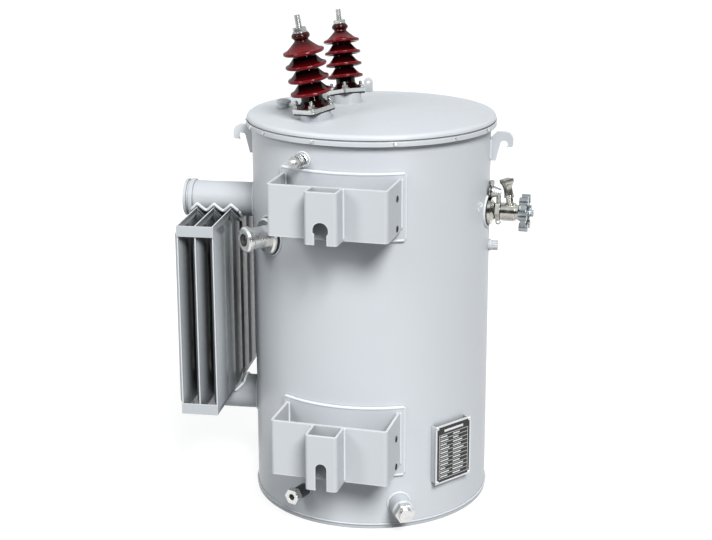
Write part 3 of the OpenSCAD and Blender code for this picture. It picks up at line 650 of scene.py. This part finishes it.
def add_bolt(bm, matrix, radius, height, shank=0.0, turn=0.0):
    """Washer, hexagon with a rounded top and, if asked, a threaded end that stands out."""
    washer = BOLT_WASHER_H * height
    profile = [(radius * BOLT_WASHER_R, 0.0), (radius * BOLT_WASHER_R, washer * BOLT_WASHER_WALL),
               (radius * BOLT_WASHER_TOP_R, washer)]
    add_lathe(bm, profile, matrix, BOLT_WASHER_COUNT)
    rings = [circle(radius, z, matrix, BOLT_SIDES, turn) for z in (washer, height * BOLT_SHOULDER_H)]
    rings.append(circle(radius * BOLT_TOP_R, height, matrix, BOLT_SIDES, turn))
    add_rings(bm, rings)
    if shank:
        add_thread(bm, matrix, radius * BOLT_END_R, height * BOLT_END_START, height + shank)


# Building blocks: weld beads

BEAD_STEP = 1.7 * MM
BEAD_COUNT = 8
BEAD_END = 0.35
BEAD_END_GROWTH = 0.3
RIPPLE_LENGTH = 4.8 * MM
RIPPLE_SHARE = 0.14
RIPPLE_CHANCE = 0.04


def resample(points, step, closed):
    """Points at even steps along a line."""
    points = [Vector(p) for p in points]
    if closed:
        points = points + points[:1]
    out = [points[0]]
    carry = 0.0
    for a, b in zip(points, points[1:]):
        length = (b - a).length
        at = step - carry
        while at < length:
            out.append(a.lerp(b, at / length))
            at += step
        carry = length - (at - step)
    if not closed:
        out.append(points[-1])
    return out


def add_bead(bm, points, radius, closed=False, step=BEAD_STEP):
    """Weld bead: a rounded run with small overlapping ripples."""
    line = resample(points, step, closed)
    total = len(line)
    turns = [math.tau * k / BEAD_COUNT for k in range(BEAD_COUNT)]
    ripple = 0.0
    side = None
    rings = []
    for i, p in enumerate(line):
        before = line[i - 1] if closed or i else p
        after = line[(i + 1) % total] if closed or i + 1 < total else p
        along = (after - before).normalized()
        if side is None:
            side = along.orthogonal().normalized()
        else:
            side = (side - along * side.dot(along)).normalized()
        lift = along.cross(side)
        ripple += step / RIPPLE_LENGTH
        swell = RIPPLE_SHARE * (abs(math.sin(math.pi * ripple)) - 0.5)
        wave = 1.0 + swell + dice.uniform(-RIPPLE_CHANCE, RIPPLE_CHANCE)
        ends = 1.0 if closed else min(1.0, BEAD_END + BEAD_END_GROWTH * min(i, total - 1 - i))
        r = radius * wave * ends
        rings.append([p + r * (side * math.cos(a) + lift * math.sin(a)) for a in turns])
    add_rings(bm, rings, closed)


def arc_points(radius, z, start, end, count=60):
    """Points on a level arc round the tank's axis, between two angles in degrees."""
    return [Vector((radius * math.sin(a), -radius * math.cos(a), z))
            for a in (math.radians(start + (end - start) * k / count) for k in range(count + 1))]


# Lid rim screws, spaced round the clamp band

RIM_SCREW_ANGLES = (-54, -40, -11, 25, 54.5, 78, 112, 142, 172, 202, 232, 262, 284)
RIM_SCREW_Z = 988.5 * MM
RIM_SCREW_SINK = 1.0 * MM
RIM_SCREW_R = 4.4 * MM
RIM_SCREW_H = 5.0 * MM
bm = bmesh.new()
for angle in RIM_SCREW_ANGLES:
    place = wall_at(angle, RIM_SCREW_Z, BAND_R - TANK_R - RIM_SCREW_SINK)
    add_bolt(bm, place, RIM_SCREW_R, RIM_SCREW_H, turn=dice.uniform(0.0, 1.0))
add_piece("rim_screws", bm, zinc, width=0.3)


# High voltage bushings: clamp bolts on the flanges and threads on the studs

HV_SIZES = (1.05, 0.955)
HV_STUD_LEVEL = 209.7 * MM
HV_FLANGE_TURN = math.radians(57)
HV_FLANGE_T = 10 * MM
HV_BOLT_AT = 27.5 * MM
HV_BOLT_R = 8.4 * MM
HV_BOLT_H = 10.0 * MM
HV_BOLT_END = 9 * MM
HV_THREAD_R = 7.1 * MM
HV_THREAD_START = 195.5 * MM
HV_THREAD_END = 223.6 * MM
HV_THREAD_PITCH = 2.0 * MM
for i, (stud, size) in enumerate(zip(hv_studs, HV_SIZES), 1):
    axis = Vector(stud["axis"])
    base = Vector(stud["pos_m"]) - axis * HV_STUD_LEVEL * size
    place = frame_at(base, axis, up=(0.0, 1.0, 0.0)) @ Matrix.Scale(size, 4)
    bm = bmesh.new()
    for sx in (-1, 1):
        for sy in (-1, 1):
            corner = Matrix.Rotation(HV_FLANGE_TURN, 4, "Z") @ Vector((sx, sy, 0.0))
            at = Matrix.Translation(corner * HV_BOLT_AT + Vector((0.0, 0.0, HV_FLANGE_T)))
            add_bolt(bm, place @ at, HV_BOLT_R, HV_BOLT_H, shank=HV_BOLT_END, turn=dice.uniform(0, 1))
    add_piece("hv_clamp_bolts_%d" % i, bm, steel, width=0.4)
    bm = bmesh.new()
    add_thread(bm, place, HV_THREAD_R, HV_THREAD_START, HV_THREAD_END, HV_THREAD_PITCH, FINE_COUNT)
    add_piece("hv_stud_thread_%d" % i, bm, steel)


# Tank welds: round the bottom plate and up the back

LONG_BEAD_STEP = 2.4 * MM
BASE_WELD_Z = 11 * MM
BASE_WELD_LIFT = 1.0 * MM
BASE_WELD_R = 3.0 * MM
BASE_WELD_END = 357
BASE_WELD_COUNT = 180
SEAM_ANGLE = 196
SEAM_ZS = (14 * MM, 978 * MM)
SEAM_R = 1.8 * MM
bm = bmesh.new()
base_line = arc_points(TANK_R + BASE_WELD_LIFT, BASE_WELD_Z, 0, BASE_WELD_END, BASE_WELD_COUNT)
add_bead(bm, base_line, BASE_WELD_R, closed=True, step=LONG_BEAD_STEP)
seam_line = [wall_at(SEAM_ANGLE, z).translation for z in SEAM_ZS]
add_bead(bm, seam_line, SEAM_R, step=LONG_BEAD_STEP)
add_piece("tank_welds", bm, paint)


# Fitting welds: a raised ring on the wall round the foot of each fitting

WALL_RING_LIFT = 0.6 * MM
WALL_RING_COUNT = 72
# Angle, height, ring radius and bead radius
FITTING_RINGS = (
    (VALVE_ANGLE, VALVE_Z, 41.0 * MM, 3.4 * MM),
    (GLAND_ANGLE, GLAND_Z, 49.5 * MM, 3.0 * MM),
    (DRAIN_ANGLE, DRAIN_Z, 28.5 * MM, 3.0 * MM),
    (LOW_FITTING_ANGLE, LOW_FITTING_Z, 17.5 * MM, 2.6 * MM),
    (EARTH_ANGLE, EARTH_Z, 19.0 * MM, 2.4 * MM),
)


def wall_ring(angle, z, radius):
    """Closed ring of points that lies on the tank's curved wall."""
    place = wall_at(angle, z)
    ring = []
    for k in range(WALL_RING_COUNT):
        x = radius * math.cos(math.tau * k / WALL_RING_COUNT)
        y = radius * math.sin(math.tau * k / WALL_RING_COUNT)
        ring.append(place @ Vector((x, y, math.sqrt(TANK_R ** 2 - x * x) - TANK_R + WALL_RING_LIFT)))
    return ring


bm = bmesh.new()
for angle, z, radius, thick in FITTING_RINGS:
    add_bead(bm, wall_ring(angle, z, radius), thick, closed=True)
add_piece("fitting_welds", bm, highlit_bead_paint)


# Hanger welds: box legs on the curved plates, noses on the boxes, plates on the tank

LEG_WELD_LIFT = 1.0 * MM
NOSE_WELD_LIFT = 0.8 * MM
LEG_WELD_R = 3.0 * MM
LEG_WELD_LOW = 2 * MM
LEG_WELD_HIGH = 1 * MM
SIDE_WELD_TURN = 0.3
SIDE_WELD_LIFT = 2.0 * MM
SIDE_WELD_R = 3.4 * MM
END_WELD_LIFT = 2.8 * MM
END_WELD_R = 4.4 * MM
plate_edge = math.degrees(math.asin(PLATE_HALF_CHORD / PLATE_R))


def plate_face(x):
    """Depth of a weld line in front of a hanger's curved plate."""
    return -math.sqrt(PLATE_R ** 2 - x ** 2) - LEG_WELD_LIFT


bm = bmesh.new()
for level in ("upper", "lower"):
    low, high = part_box(level + "_hanger_box")
    plate_ends = (low.z - PLATE_UNDER, high.z + PLATE_OVER)
    for side in (-1, 1):
        outer = side * (HANGER_HALF + LEG_WELD_LIFT)
        inner = side * (HANGER_HALF - HANGER_T - LEG_WELD_LIFT)
        front = side * (NOSE_HALF + NOSE_WELD_LIFT)
        for x, y in ((outer, plate_face(outer)), (inner, plate_face(inner)),
                     (front, -HANGER_FRONT - NOSE_WELD_LIFT)):
            add_bead(bm, [(x, y, low.z + LEG_WELD_LOW), (x, y, high.z - LEG_WELD_HIGH)], LEG_WELD_R)
        edge = wall_at(side * (plate_edge + SIDE_WELD_TURN), 0.0, SIDE_WELD_LIFT).translation
        add_bead(bm, [edge + Vector((0.0, 0.0, z)) for z in plate_ends], SIDE_WELD_R)
    for z in plate_ends:
        add_bead(bm, arc_points(TANK_R + END_WELD_LIFT, z, -plate_edge, plate_edge), END_WELD_R)
add_piece("hanger_welds", bm, highlit_bead_paint)


# Hanger side holes: a black ring round each tie wire hole, painted shade round the hole

SIDE_HOLE_Y = -317 * MM
SIDE_HOLE_ZS = (185 * MM, 258 * MM, 790.6 * MM, 863.6 * MM)
HOLE_SHADE_R = 6.6 * MM
HOLE_SHADE_T = 1.7 * MM
HOLE_SHADE_LIFT = 0.3 * MM
bm = bmesh.new()
for side in (-1, 1):
    for z in SIDE_HOLE_ZS:
        place = frame_at((side * HANGER_HALF, SIDE_HOLE_Y, z), (side, 0.0, 0.0))
        add_bead(bm, circle(HOLE_SHADE_R, HOLE_SHADE_LIFT, place), HOLE_SHADE_T, closed=True)
add_piece("hanger_side_hole_shade", bm, rubber)


# Radiator: beads where the headers meet the tank, and necks with beads where they enter the panels

NECK_RISE = 9 * MM
NECK_SLOPE = 0.9
NECK_SINK = 6 * MM
NECK_T = 4 * MM
NECK_BACK = -0.5 * MM
NECK_STEPS = 8
NECK_BEAD_LIFT = 2.4 * MM
NECK_BEAD_R = 4.2 * MM
FACE_GAP = 1.0 * MM
FACE_STEPS = 24
FACE_BEAD_LIFT = 1.6 * MM
FACE_BEAD_R = 3.6 * MM
FOOT_STEPS = 64
FOOT_SPREAD = 1.03
FOOT_WALL = 1.0 * MM
FOOT_LIFT = 1.5 * MM
FOOT_BEAD_R = 3.6 * MM
radiator = Matrix.Rotation(math.pi + RADIATOR_TURN, 4, "Z")


def on_header(along, rise, header_z, side, off):
    """Point on a header pipe at a distance along it and a height against its axis."""
    rise = max(-HEADER_R, min(HEADER_R, rise))
    scale = 1.0 + off / HEADER_R
    y = side * math.sqrt(HEADER_R ** 2 - rise ** 2)
    return radiator @ Vector((along, y * scale, header_z + rise * scale))


def header_foot(header_z):
    """Ring of points where a header pipe meets the tank wall."""
    ring = []
    for k in range(FOOT_STEPS):
        a = math.tau * k / FOOT_STEPS
        y = HEADER_R * math.sin(a)
        x = math.sqrt((TANK_R + FOOT_WALL) ** 2 - y * y)
        z = header_z + HEADER_R * FOOT_SPREAD * math.cos(a)
        ring.append(radiator @ Vector((x + FOOT_LIFT, y * FOOT_SPREAD, z)))
    return ring


welds = bmesh.new()
necks = bmesh.new()
for header_z, end_z, fall in zip(HEADER_ZS, PANEL_ENDS, (-1, 1)):
    add_bead(welds, header_foot(header_z), FOOT_BEAD_R, closed=True)
    for side in (-1, 1):
        line = []
        strip = []
        for panel in range(PANEL_COUNT):
            for k in range(-NECK_STEPS, NECK_STEPS + 1):
                u = COLLAR_HALF * k / NECK_STEPS
                along = PANEL_START + panel * PANEL_PITCH + u
                top = end_z - header_z - fall * NECK_RISE + fall * NECK_SLOPE * abs(u)
                foot = end_z - header_z + fall * (COLLAR_SLOPE * abs(u) + NECK_SINK)
                outline = ((top, NECK_BACK), (foot, NECK_BACK), (foot, NECK_T), (top, NECK_T))
                line.append(on_header(along, top, header_z, side, NECK_BEAD_LIFT))
                strip.append([on_header(along, rise, header_z, side, off) for rise, off in outline])
        add_bead(welds, line, NECK_BEAD_R)
        add_rings(necks, strip)
        face = PANEL_START - COLLAR_HALF - FACE_GAP
        rise = end_z - header_z - fall * NECK_RISE + fall * NECK_SLOPE * COLLAR_HALF
        rises = [rise + (fall * HEADER_R - rise) * k / FACE_STEPS for k in range(FACE_STEPS + 1)]
        face_line = [on_header(face, r, header_z, side, FACE_BEAD_LIFT) for r in rises]
        add_bead(welds, face_line, FACE_BEAD_R)
add_piece("radiator_welds", welds, highlit_bead_paint)
add_piece("radiator_necks", necks, paint)


# Header ends: a turned rim round each cap, as radius and height in millimetres

CAP_RIM_PROFILE = ((44.0, -17.0), (49.0, -17.0), (49.8, -16.2), (49.8, -7.8), (49.0, -7.0), (44.0, -7.0))
CAP_RIM_COUNT = 64
header_axis = radiator.to_3x3() @ Vector((1.0, 0.0, 0.0))
bm = bmesh.new()
for header_z in HEADER_ZS:
    place = frame_at(radiator @ Vector((HEADER_END, 0.0, header_z)), header_axis)
    add_lathe(bm, [(r * MM, z * MM) for r, z in CAP_RIM_PROFILE], place, CAP_RIM_COUNT)
add_piece("header_cap_rims", bm, shaded_paint)


# Lifting hooks: weld down both sides of each plate

HOOK_TURN = math.radians(6)
HOOK_WELD_SIDE = 6.8 * MM
HOOK_WELD_LIFT = 0.9 * MM
HOOK_WELD_ZS = (894 * MM, 946 * MM)
HOOK_WELD_R = 2.4 * MM
bm = bmesh.new()
for flip in (0.0, math.pi):
    spin = Matrix.Rotation(HOOK_TURN + flip, 4, "Z")
    for side in (-1, 1):
        x = TANK_R + HOOK_WELD_LIFT
        y = side * HOOK_WELD_SIDE
        add_bead(bm, [spin @ Vector((x, y, z)) for z in HOOK_WELD_ZS], HOOK_WELD_R)
add_piece("hook_welds", bm, highlit_bead_paint)


# Earth stud: screw thread, and black rings along the stud that paint the shade in its gaps

EARTH_THREAD_R = 7.6 * MM
EARTH_THREAD_START = 41 * MM
EARTH_THREAD_END = 55.5 * MM
EARTH_THREAD_PITCH = 1.75 * MM
GAP_SHADE_INNER = 6.0 * MM
GAP_SHADE_OUTER = 13.0 * MM
GAP_SHADE_SPANS = ((10.2 * MM, 16.8 * MM), (29.2 * MM, 31.8 * MM))
earth_place = wall_at(EARTH_ANGLE, EARTH_Z)
bm = bmesh.new()
add_thread(bm, earth_place, EARTH_THREAD_R, EARTH_THREAD_START, EARTH_THREAD_END, EARTH_THREAD_PITCH)
add_piece("earth_stud_thread", bm, zinc)
bm = bmesh.new()
for start, end in GAP_SHADE_SPANS:
    add_washer(bm, earth_place, GAP_SHADE_INNER, GAP_SHADE_OUTER, start, end)
add_piece("earth_stud_gap_shade", bm, rubber, width=0.3)


# Low voltage studs: screw threads and nuts

LV_THREAD_R = 10.7 * MM
LV_THREAD_START = 79.6 * MM
LV_THREAD_END = 119 * MM
LV_THREAD_PITCH = 2.5 * MM
LV_NUT_STARTS = (80.2 * MM, 94.0 * MM)
LV_NUT_R = 16 * MM
LV_NUT_H = 12 * MM
bm = bmesh.new()
for angle in LV_ANGLES:
    place = wall_at(angle, LV_Z)
    add_thread(bm, place, LV_THREAD_R, LV_THREAD_START, LV_THREAD_END, LV_THREAD_PITCH, FINE_COUNT)
    for start in LV_NUT_STARTS:
        at = place @ Matrix.Translation((0.0, 0.0, start))
        add_bolt(bm, at, LV_NUT_R, LV_NUT_H, turn=dice.uniform(0, 1))
add_piece("lv_stud_nuts", bm, steel, width=0.6)


# Side gland: set screw on the body and a seal in its mouth

GLAND_SCREW_BACK = 22 * MM
GLAND_SCREW_OUT = 26.6 * MM
GLAND_SCREW_R = 4.5 * MM
GLAND_SCREW_H = 5.0 * MM
GLAND_MOUTH_AT = 20 * MM
GLAND_SEAL_R = 14.4 * MM
GLAND_SEAL_T = 1.9 * MM
GLAND_SEAL_COUNT = 48
gland_middle = Vector(mounts["gland_bore"]["pos_m"])
gland_axis = Vector(mounts["gland_bore"]["axis"])
screw_side = Vector(UP).cross(gland_axis).normalized()
screw_at = gland_middle - gland_axis * GLAND_SCREW_BACK + screw_side * GLAND_SCREW_OUT
bm = bmesh.new()
add_bolt(bm, frame_at(screw_at, screw_side), GLAND_SCREW_R, GLAND_SCREW_H)
add_piece("gland_set_screw", bm, zinc, width=0.3)
bm = bmesh.new()
mouth = frame_at(gland_middle + gland_axis * GLAND_MOUTH_AT, gland_axis)
add_bead(bm, circle(GLAND_SEAL_R, 0.0, mouth, GLAND_SEAL_COUNT), GLAND_SEAL_T, closed=True)
add_piece("gland_mouth_seal", bm, rubber)


# Valve: ribs round the barrel's underside, and black rings in the union as painted shade in its joints

RIB_ZS = (41 * MM, 46 * MM, 51 * MM, 56 * MM, 61 * MM, 66 * MM)
RIB_AT = 23.1 * MM
RIB_R = 1.4 * MM
RIB_STEP = 2 * MM
RIB_FROM = 190
RIB_SPAN = 160
RIB_COUNT = 40
UNION_UP = 50 * MM
UNION_INNER = 9.0 * MM
UNION_OUTER = 15.4 * MM
UNION_SPANS = ((3.4 * MM, 5.0 * MM), (8.1 * MM, 10.9 * MM))
valve = frame_at((TANK_R, 0.0, VALVE_Z), (1.0, 0.0, 0.0))
rib_turns = [math.radians(RIB_FROM + RIB_SPAN * j / RIB_COUNT) for j in range(RIB_COUNT + 1)]
bm = bmesh.new()
for z in RIB_ZS:
    rib = [valve @ Vector((RIB_AT * math.cos(a), RIB_AT * math.sin(a), z)) for a in rib_turns]
    add_bead(bm, rib, RIB_R, step=RIB_STEP)
add_piece("valve_barrel_ribs", bm, valve_metal)
bm = bmesh.new()
union = valve @ Matrix.Translation((0.0, UNION_UP, 0.0))
for start, end in UNION_SPANS:
    add_washer(bm, union, UNION_INNER, UNION_OUTER, start, end)
add_piece("valve_union_gap_shade", bm, rubber, width=0.3)


# Nameplate: dark field with a ruled blank table and four corner screws

NAMEPLATE_OUT = 16.2 * MM
NAMEPLATE_HALF_W = 60 * MM
NAMEPLATE_HALF_H = 78.5 * MM
FIELD_HALF_W = NAMEPLATE_HALF_W - 5 * MM
FIELD_HALF_H = NAMEPLATE_HALF_H - 5 * MM
FIELD_T = 0.5 * MM
TABLE_HALF_W = NAMEPLATE_HALF_W - 11 * MM
ROW_TOP = 52 * MM
ROW_LOW = -66 * MM
ROW_COUNT = 11
ROW_H = (ROW_TOP - ROW_LOW) / ROW_COUNT
LINE_W = 0.9 * MM
LINE_T = 0.8 * MM
HEAD_HALF_W = 32 * MM
HEAD_LOW = 59 * MM
HEAD_HIGH = 65 * MM
BAR_START = 0.40
BAR_H = 0.30
BAR_SHARES = (0.4, 0.95)
# Start and room of the bars in each of two columns
BAR_COLUMNS = ((4 * MM - TABLE_HALF_W, 34 * MM), (-2 * MM, 40 * MM))
SCREW_INSET = 6 * MM
SCREW_LIFT = 0.4 * MM
SCREW_PROFILE = ((4.6 * MM, 0.0), (4.4 * MM, 1.0 * MM), (3.0 * MM, 2.0 * MM), (0.0, 2.3 * MM))
SCREW_COUNT = 20
plate = wall_at(NAMEPLATE_ANGLE, NAMEPLATE_Z, NAMEPLATE_OUT)
bm = bmesh.new()
add_slab(bm, plate, -FIELD_HALF_W, FIELD_HALF_W, -FIELD_HALF_H, FIELD_HALF_H, FIELD_T)
add_piece("nameplate_field", bm, plate_field, width=0.2)
bm = bmesh.new()
for k in range(ROW_COUNT + 1):
    y = ROW_LOW + k * ROW_H
    add_slab(bm, plate, -TABLE_HALF_W, TABLE_HALF_W, y, y + LINE_W, LINE_T)
for x in (-TABLE_HALF_W, TABLE_HALF_W - LINE_W):
    add_slab(bm, plate, x, x + LINE_W, ROW_LOW, ROW_TOP, LINE_T)
add_slab(bm, plate, -HEAD_HALF_W, HEAD_HALF_W, HEAD_LOW, HEAD_HIGH, LINE_T)
for k in range(ROW_COUNT):
    y = ROW_LOW + (k + BAR_START) * ROW_H
    for start, room in BAR_COLUMNS:
        add_slab(bm, plate, start, start + room * dice.uniform(*BAR_SHARES), y, y + BAR_H * ROW_H, LINE_T)
add_piece("nameplate_ruling", bm, plate_metal)
bm = bmesh.new()
for sx in (-1, 1):
    for sy in (-1, 1):
        corner = (sx * (NAMEPLATE_HALF_W - SCREW_INSET), sy * (NAMEPLATE_HALF_H - SCREW_INSET), SCREW_LIFT)
        add_lathe(bm, SCREW_PROFILE, plate @ Matrix.Translation(corner), SCREW_COUNT)
add_piece("nameplate_screws", bm, zinc)


# Stage: floor and reflection cards

FLOOR_SIZE = 40.0
FLOOR_GLOW = 0.80
FLOOR_SHADE = 0.26
FLOOR_BOUNCE = 0.22
BLACK = (0.0, 0.0, 0.0)
WHITE = (1.0, 1.0, 1.0)


def add_stage(name, bm, look):
    mesh = bpy.data.meshes.new(name)
    bm.to_mesh(mesh)
    bm.free()
    mesh.materials.append(look)
    thing = bpy.data.objects.new(name, mesh)
    bpy.context.scene.collection.objects.link(thing)
    thing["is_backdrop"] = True
    return thing


def seen_directly(tree):
    """1 for camera, mirror and see-through rays, 0 for rays that carry soft light."""
    path = tree.nodes.new("ShaderNodeLightPath")
    total = path.outputs["Is Camera Ray"]
    for kind in ("Is Glossy Ray", "Is Transmission Ray"):
        most = tree.nodes.new("ShaderNodeMath")
        most.operation = "MAXIMUM"
        tree.links.new(total, most.inputs[0])
        tree.links.new(path.outputs[kind], most.inputs[1])
        total = most.outputs["Value"]
    return total


floor_look = Graph("pale_floor")
floor_grain = floor_look.noise(scale=30.0, detail=2.0)
shown = seen_directly(floor_look.tree)
floor_shade = floor_look.remap(shown, low=FLOOR_BOUNCE, high=FLOOR_SHADE, start=0.0, end=1.0)
floor_look.set(Base_Color=floor_look.mix(floor_shade, BLACK, WHITE), Specular_IOR_Level=0.0,
               Roughness=floor_look.remap(floor_grain, low=0.88, high=0.96),
               Emission_Color=(*WHITE, 1.0), Emission_Strength=floor_look.scaled(shown, FLOOR_GLOW))
floor_bm = bmesh.new()
bmesh.ops.create_grid(floor_bm, x_segments=4, y_segments=4, size=FLOOR_SIZE)
add_stage("floor", floor_bm, floor_look.material)

CARD_R = 5.0
CARD_TOP = 4.2
CARD_COUNT = 40
# Name, start and end in degrees, height of the foot and shade
CARDS = (("front_card", -58, 92, 0.05, 0.016), ("back_card", 158, 232, 1.4, 0.45))
for name, start, end, foot, shade in CARDS:
    card_look = Graph(name)
    dark = toned(WHITE, 0.9 * shade)
    light = toned(WHITE, 1.1 * shade)
    card_base = card_look.two_tone(card_look.noise(scale=2.0), dark, light)
    card_look.set(Base_Color=card_base, Roughness=0.9)
    card_bm = bmesh.new()
    columns = [(card_bm.verts.new(p), card_bm.verts.new((p.x, p.y, CARD_TOP)))
               for p in arc_points(CARD_R, foot, start, end, CARD_COUNT)]
    for (a, b), (c, d) in zip(columns, columns[1:]):
        card_bm.faces.new((a, c, d, b))
    card = add_stage(name, card_bm, card_look.material)
    card.visible_camera = False
    card.visible_diffuse = False
    card.visible_shadow = False


# Light: world and lamps

AMBIENT = 0.22
SKY_COLOUR = (0.90, 0.98, 1.0, 1.0)
LAMP_AIM = Vector((0.0, 0.0, 0.6))
world = bpy.data.worlds.new("studio")
bpy.context.scene.world = world
world.use_nodes = True
sky = world.node_tree.nodes["Background"]
sky.inputs["Color"].default_value = SKY_COLOUR
level = world.node_tree.nodes.new("ShaderNodeMapRange")
level.inputs["To Min"].default_value = AMBIENT
level.inputs["To Max"].default_value = 1.0
world.node_tree.links.new(seen_directly(world.node_tree), level.inputs["Value"])
world.node_tree.links.new(level.outputs["Result"], sky.inputs["Strength"])


def add_lamp(data, azimuth, elevation, distance, power):
    """Lamp aimed at the tank's middle from an azimuth and an elevation in degrees."""
    data.energy = power
    a = math.radians(azimuth)
    e = math.radians(elevation)
    out = Vector((math.sin(a) * math.cos(e), -math.cos(a) * math.cos(e), math.sin(e)))
    lamp = bpy.data.objects.new(data.name, data)
    lamp.location = LAMP_AIM + out * distance
    lamp.rotation_euler = (-out).to_track_quat("-Z", "Y").to_euler()
    bpy.context.scene.collection.objects.link(lamp)
    return lamp


def sun_data(name, spread):
    data = bpy.data.lights.new(name, "SUN")
    data.angle = math.radians(spread)
    return data


def panel_data(name, width, height):
    data = bpy.data.lights.new(name, "AREA")
    data.shape = "RECTANGLE"
    data.size = width
    data.size_y = height
    return data


add_lamp(sun_data("key_light", spread=22), azimuth=34, elevation=43, distance=5.0, power=3.55)
left_fill = panel_data("left_fill", width=0.8, height=1.4)
add_lamp(left_fill, azimuth=-35, elevation=30, distance=3.6, power=36)
glint_strip = panel_data("glint_strip", width=0.15, height=1.8)
add_lamp(glint_strip, azimuth=40, elevation=12, distance=4.0, power=44).visible_diffuse = False
for name, azimuth, power in (("back_fill_right", 172, 50), ("back_fill_left", 215, 45)):
    back_fill = panel_data(name, width=2.0, height=2.0)
    add_lamp(back_fill, azimuth, elevation=15, distance=4.0, power=power).visible_glossy = False


# Camera as the photograph was taken

IMAGE_W = 712
SENSOR_W = 36.0
FOCAL_PX = 1438.3
CAMERA_AZIMUTH = math.radians(15.0)
CAMERA_PITCH = math.radians(14.355)
CAMERA_REACH = 3.6144
CAMERA_HEIGHT = 1.6739
AXIS_RIGHT_PX = 15.58
AXIS_UP_PX = 60.0
camera_data = bpy.data.cameras.new("camera")
camera = bpy.data.objects.new("camera", camera_data)
bpy.context.scene.collection.objects.link(camera)
camera.location = (CAMERA_REACH * math.sin(CAMERA_AZIMUTH),
                   -CAMERA_REACH * math.cos(CAMERA_AZIMUTH), CAMERA_HEIGHT)
camera.rotation_euler = (math.pi / 2 - CAMERA_PITCH, 0.0, CAMERA_AZIMUTH)
camera_data.sensor_width = SENSOR_W
camera_data.lens = FOCAL_PX * SENSOR_W / IMAGE_W
camera_data.shift_x = -AXIS_RIGHT_PX / IMAGE_W
camera_data.shift_y = -AXIS_UP_PX / IMAGE_W
bpy.context.scene.camera = camera
bpy.context.scene.view_settings.view_transform = "Standard"

low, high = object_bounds()
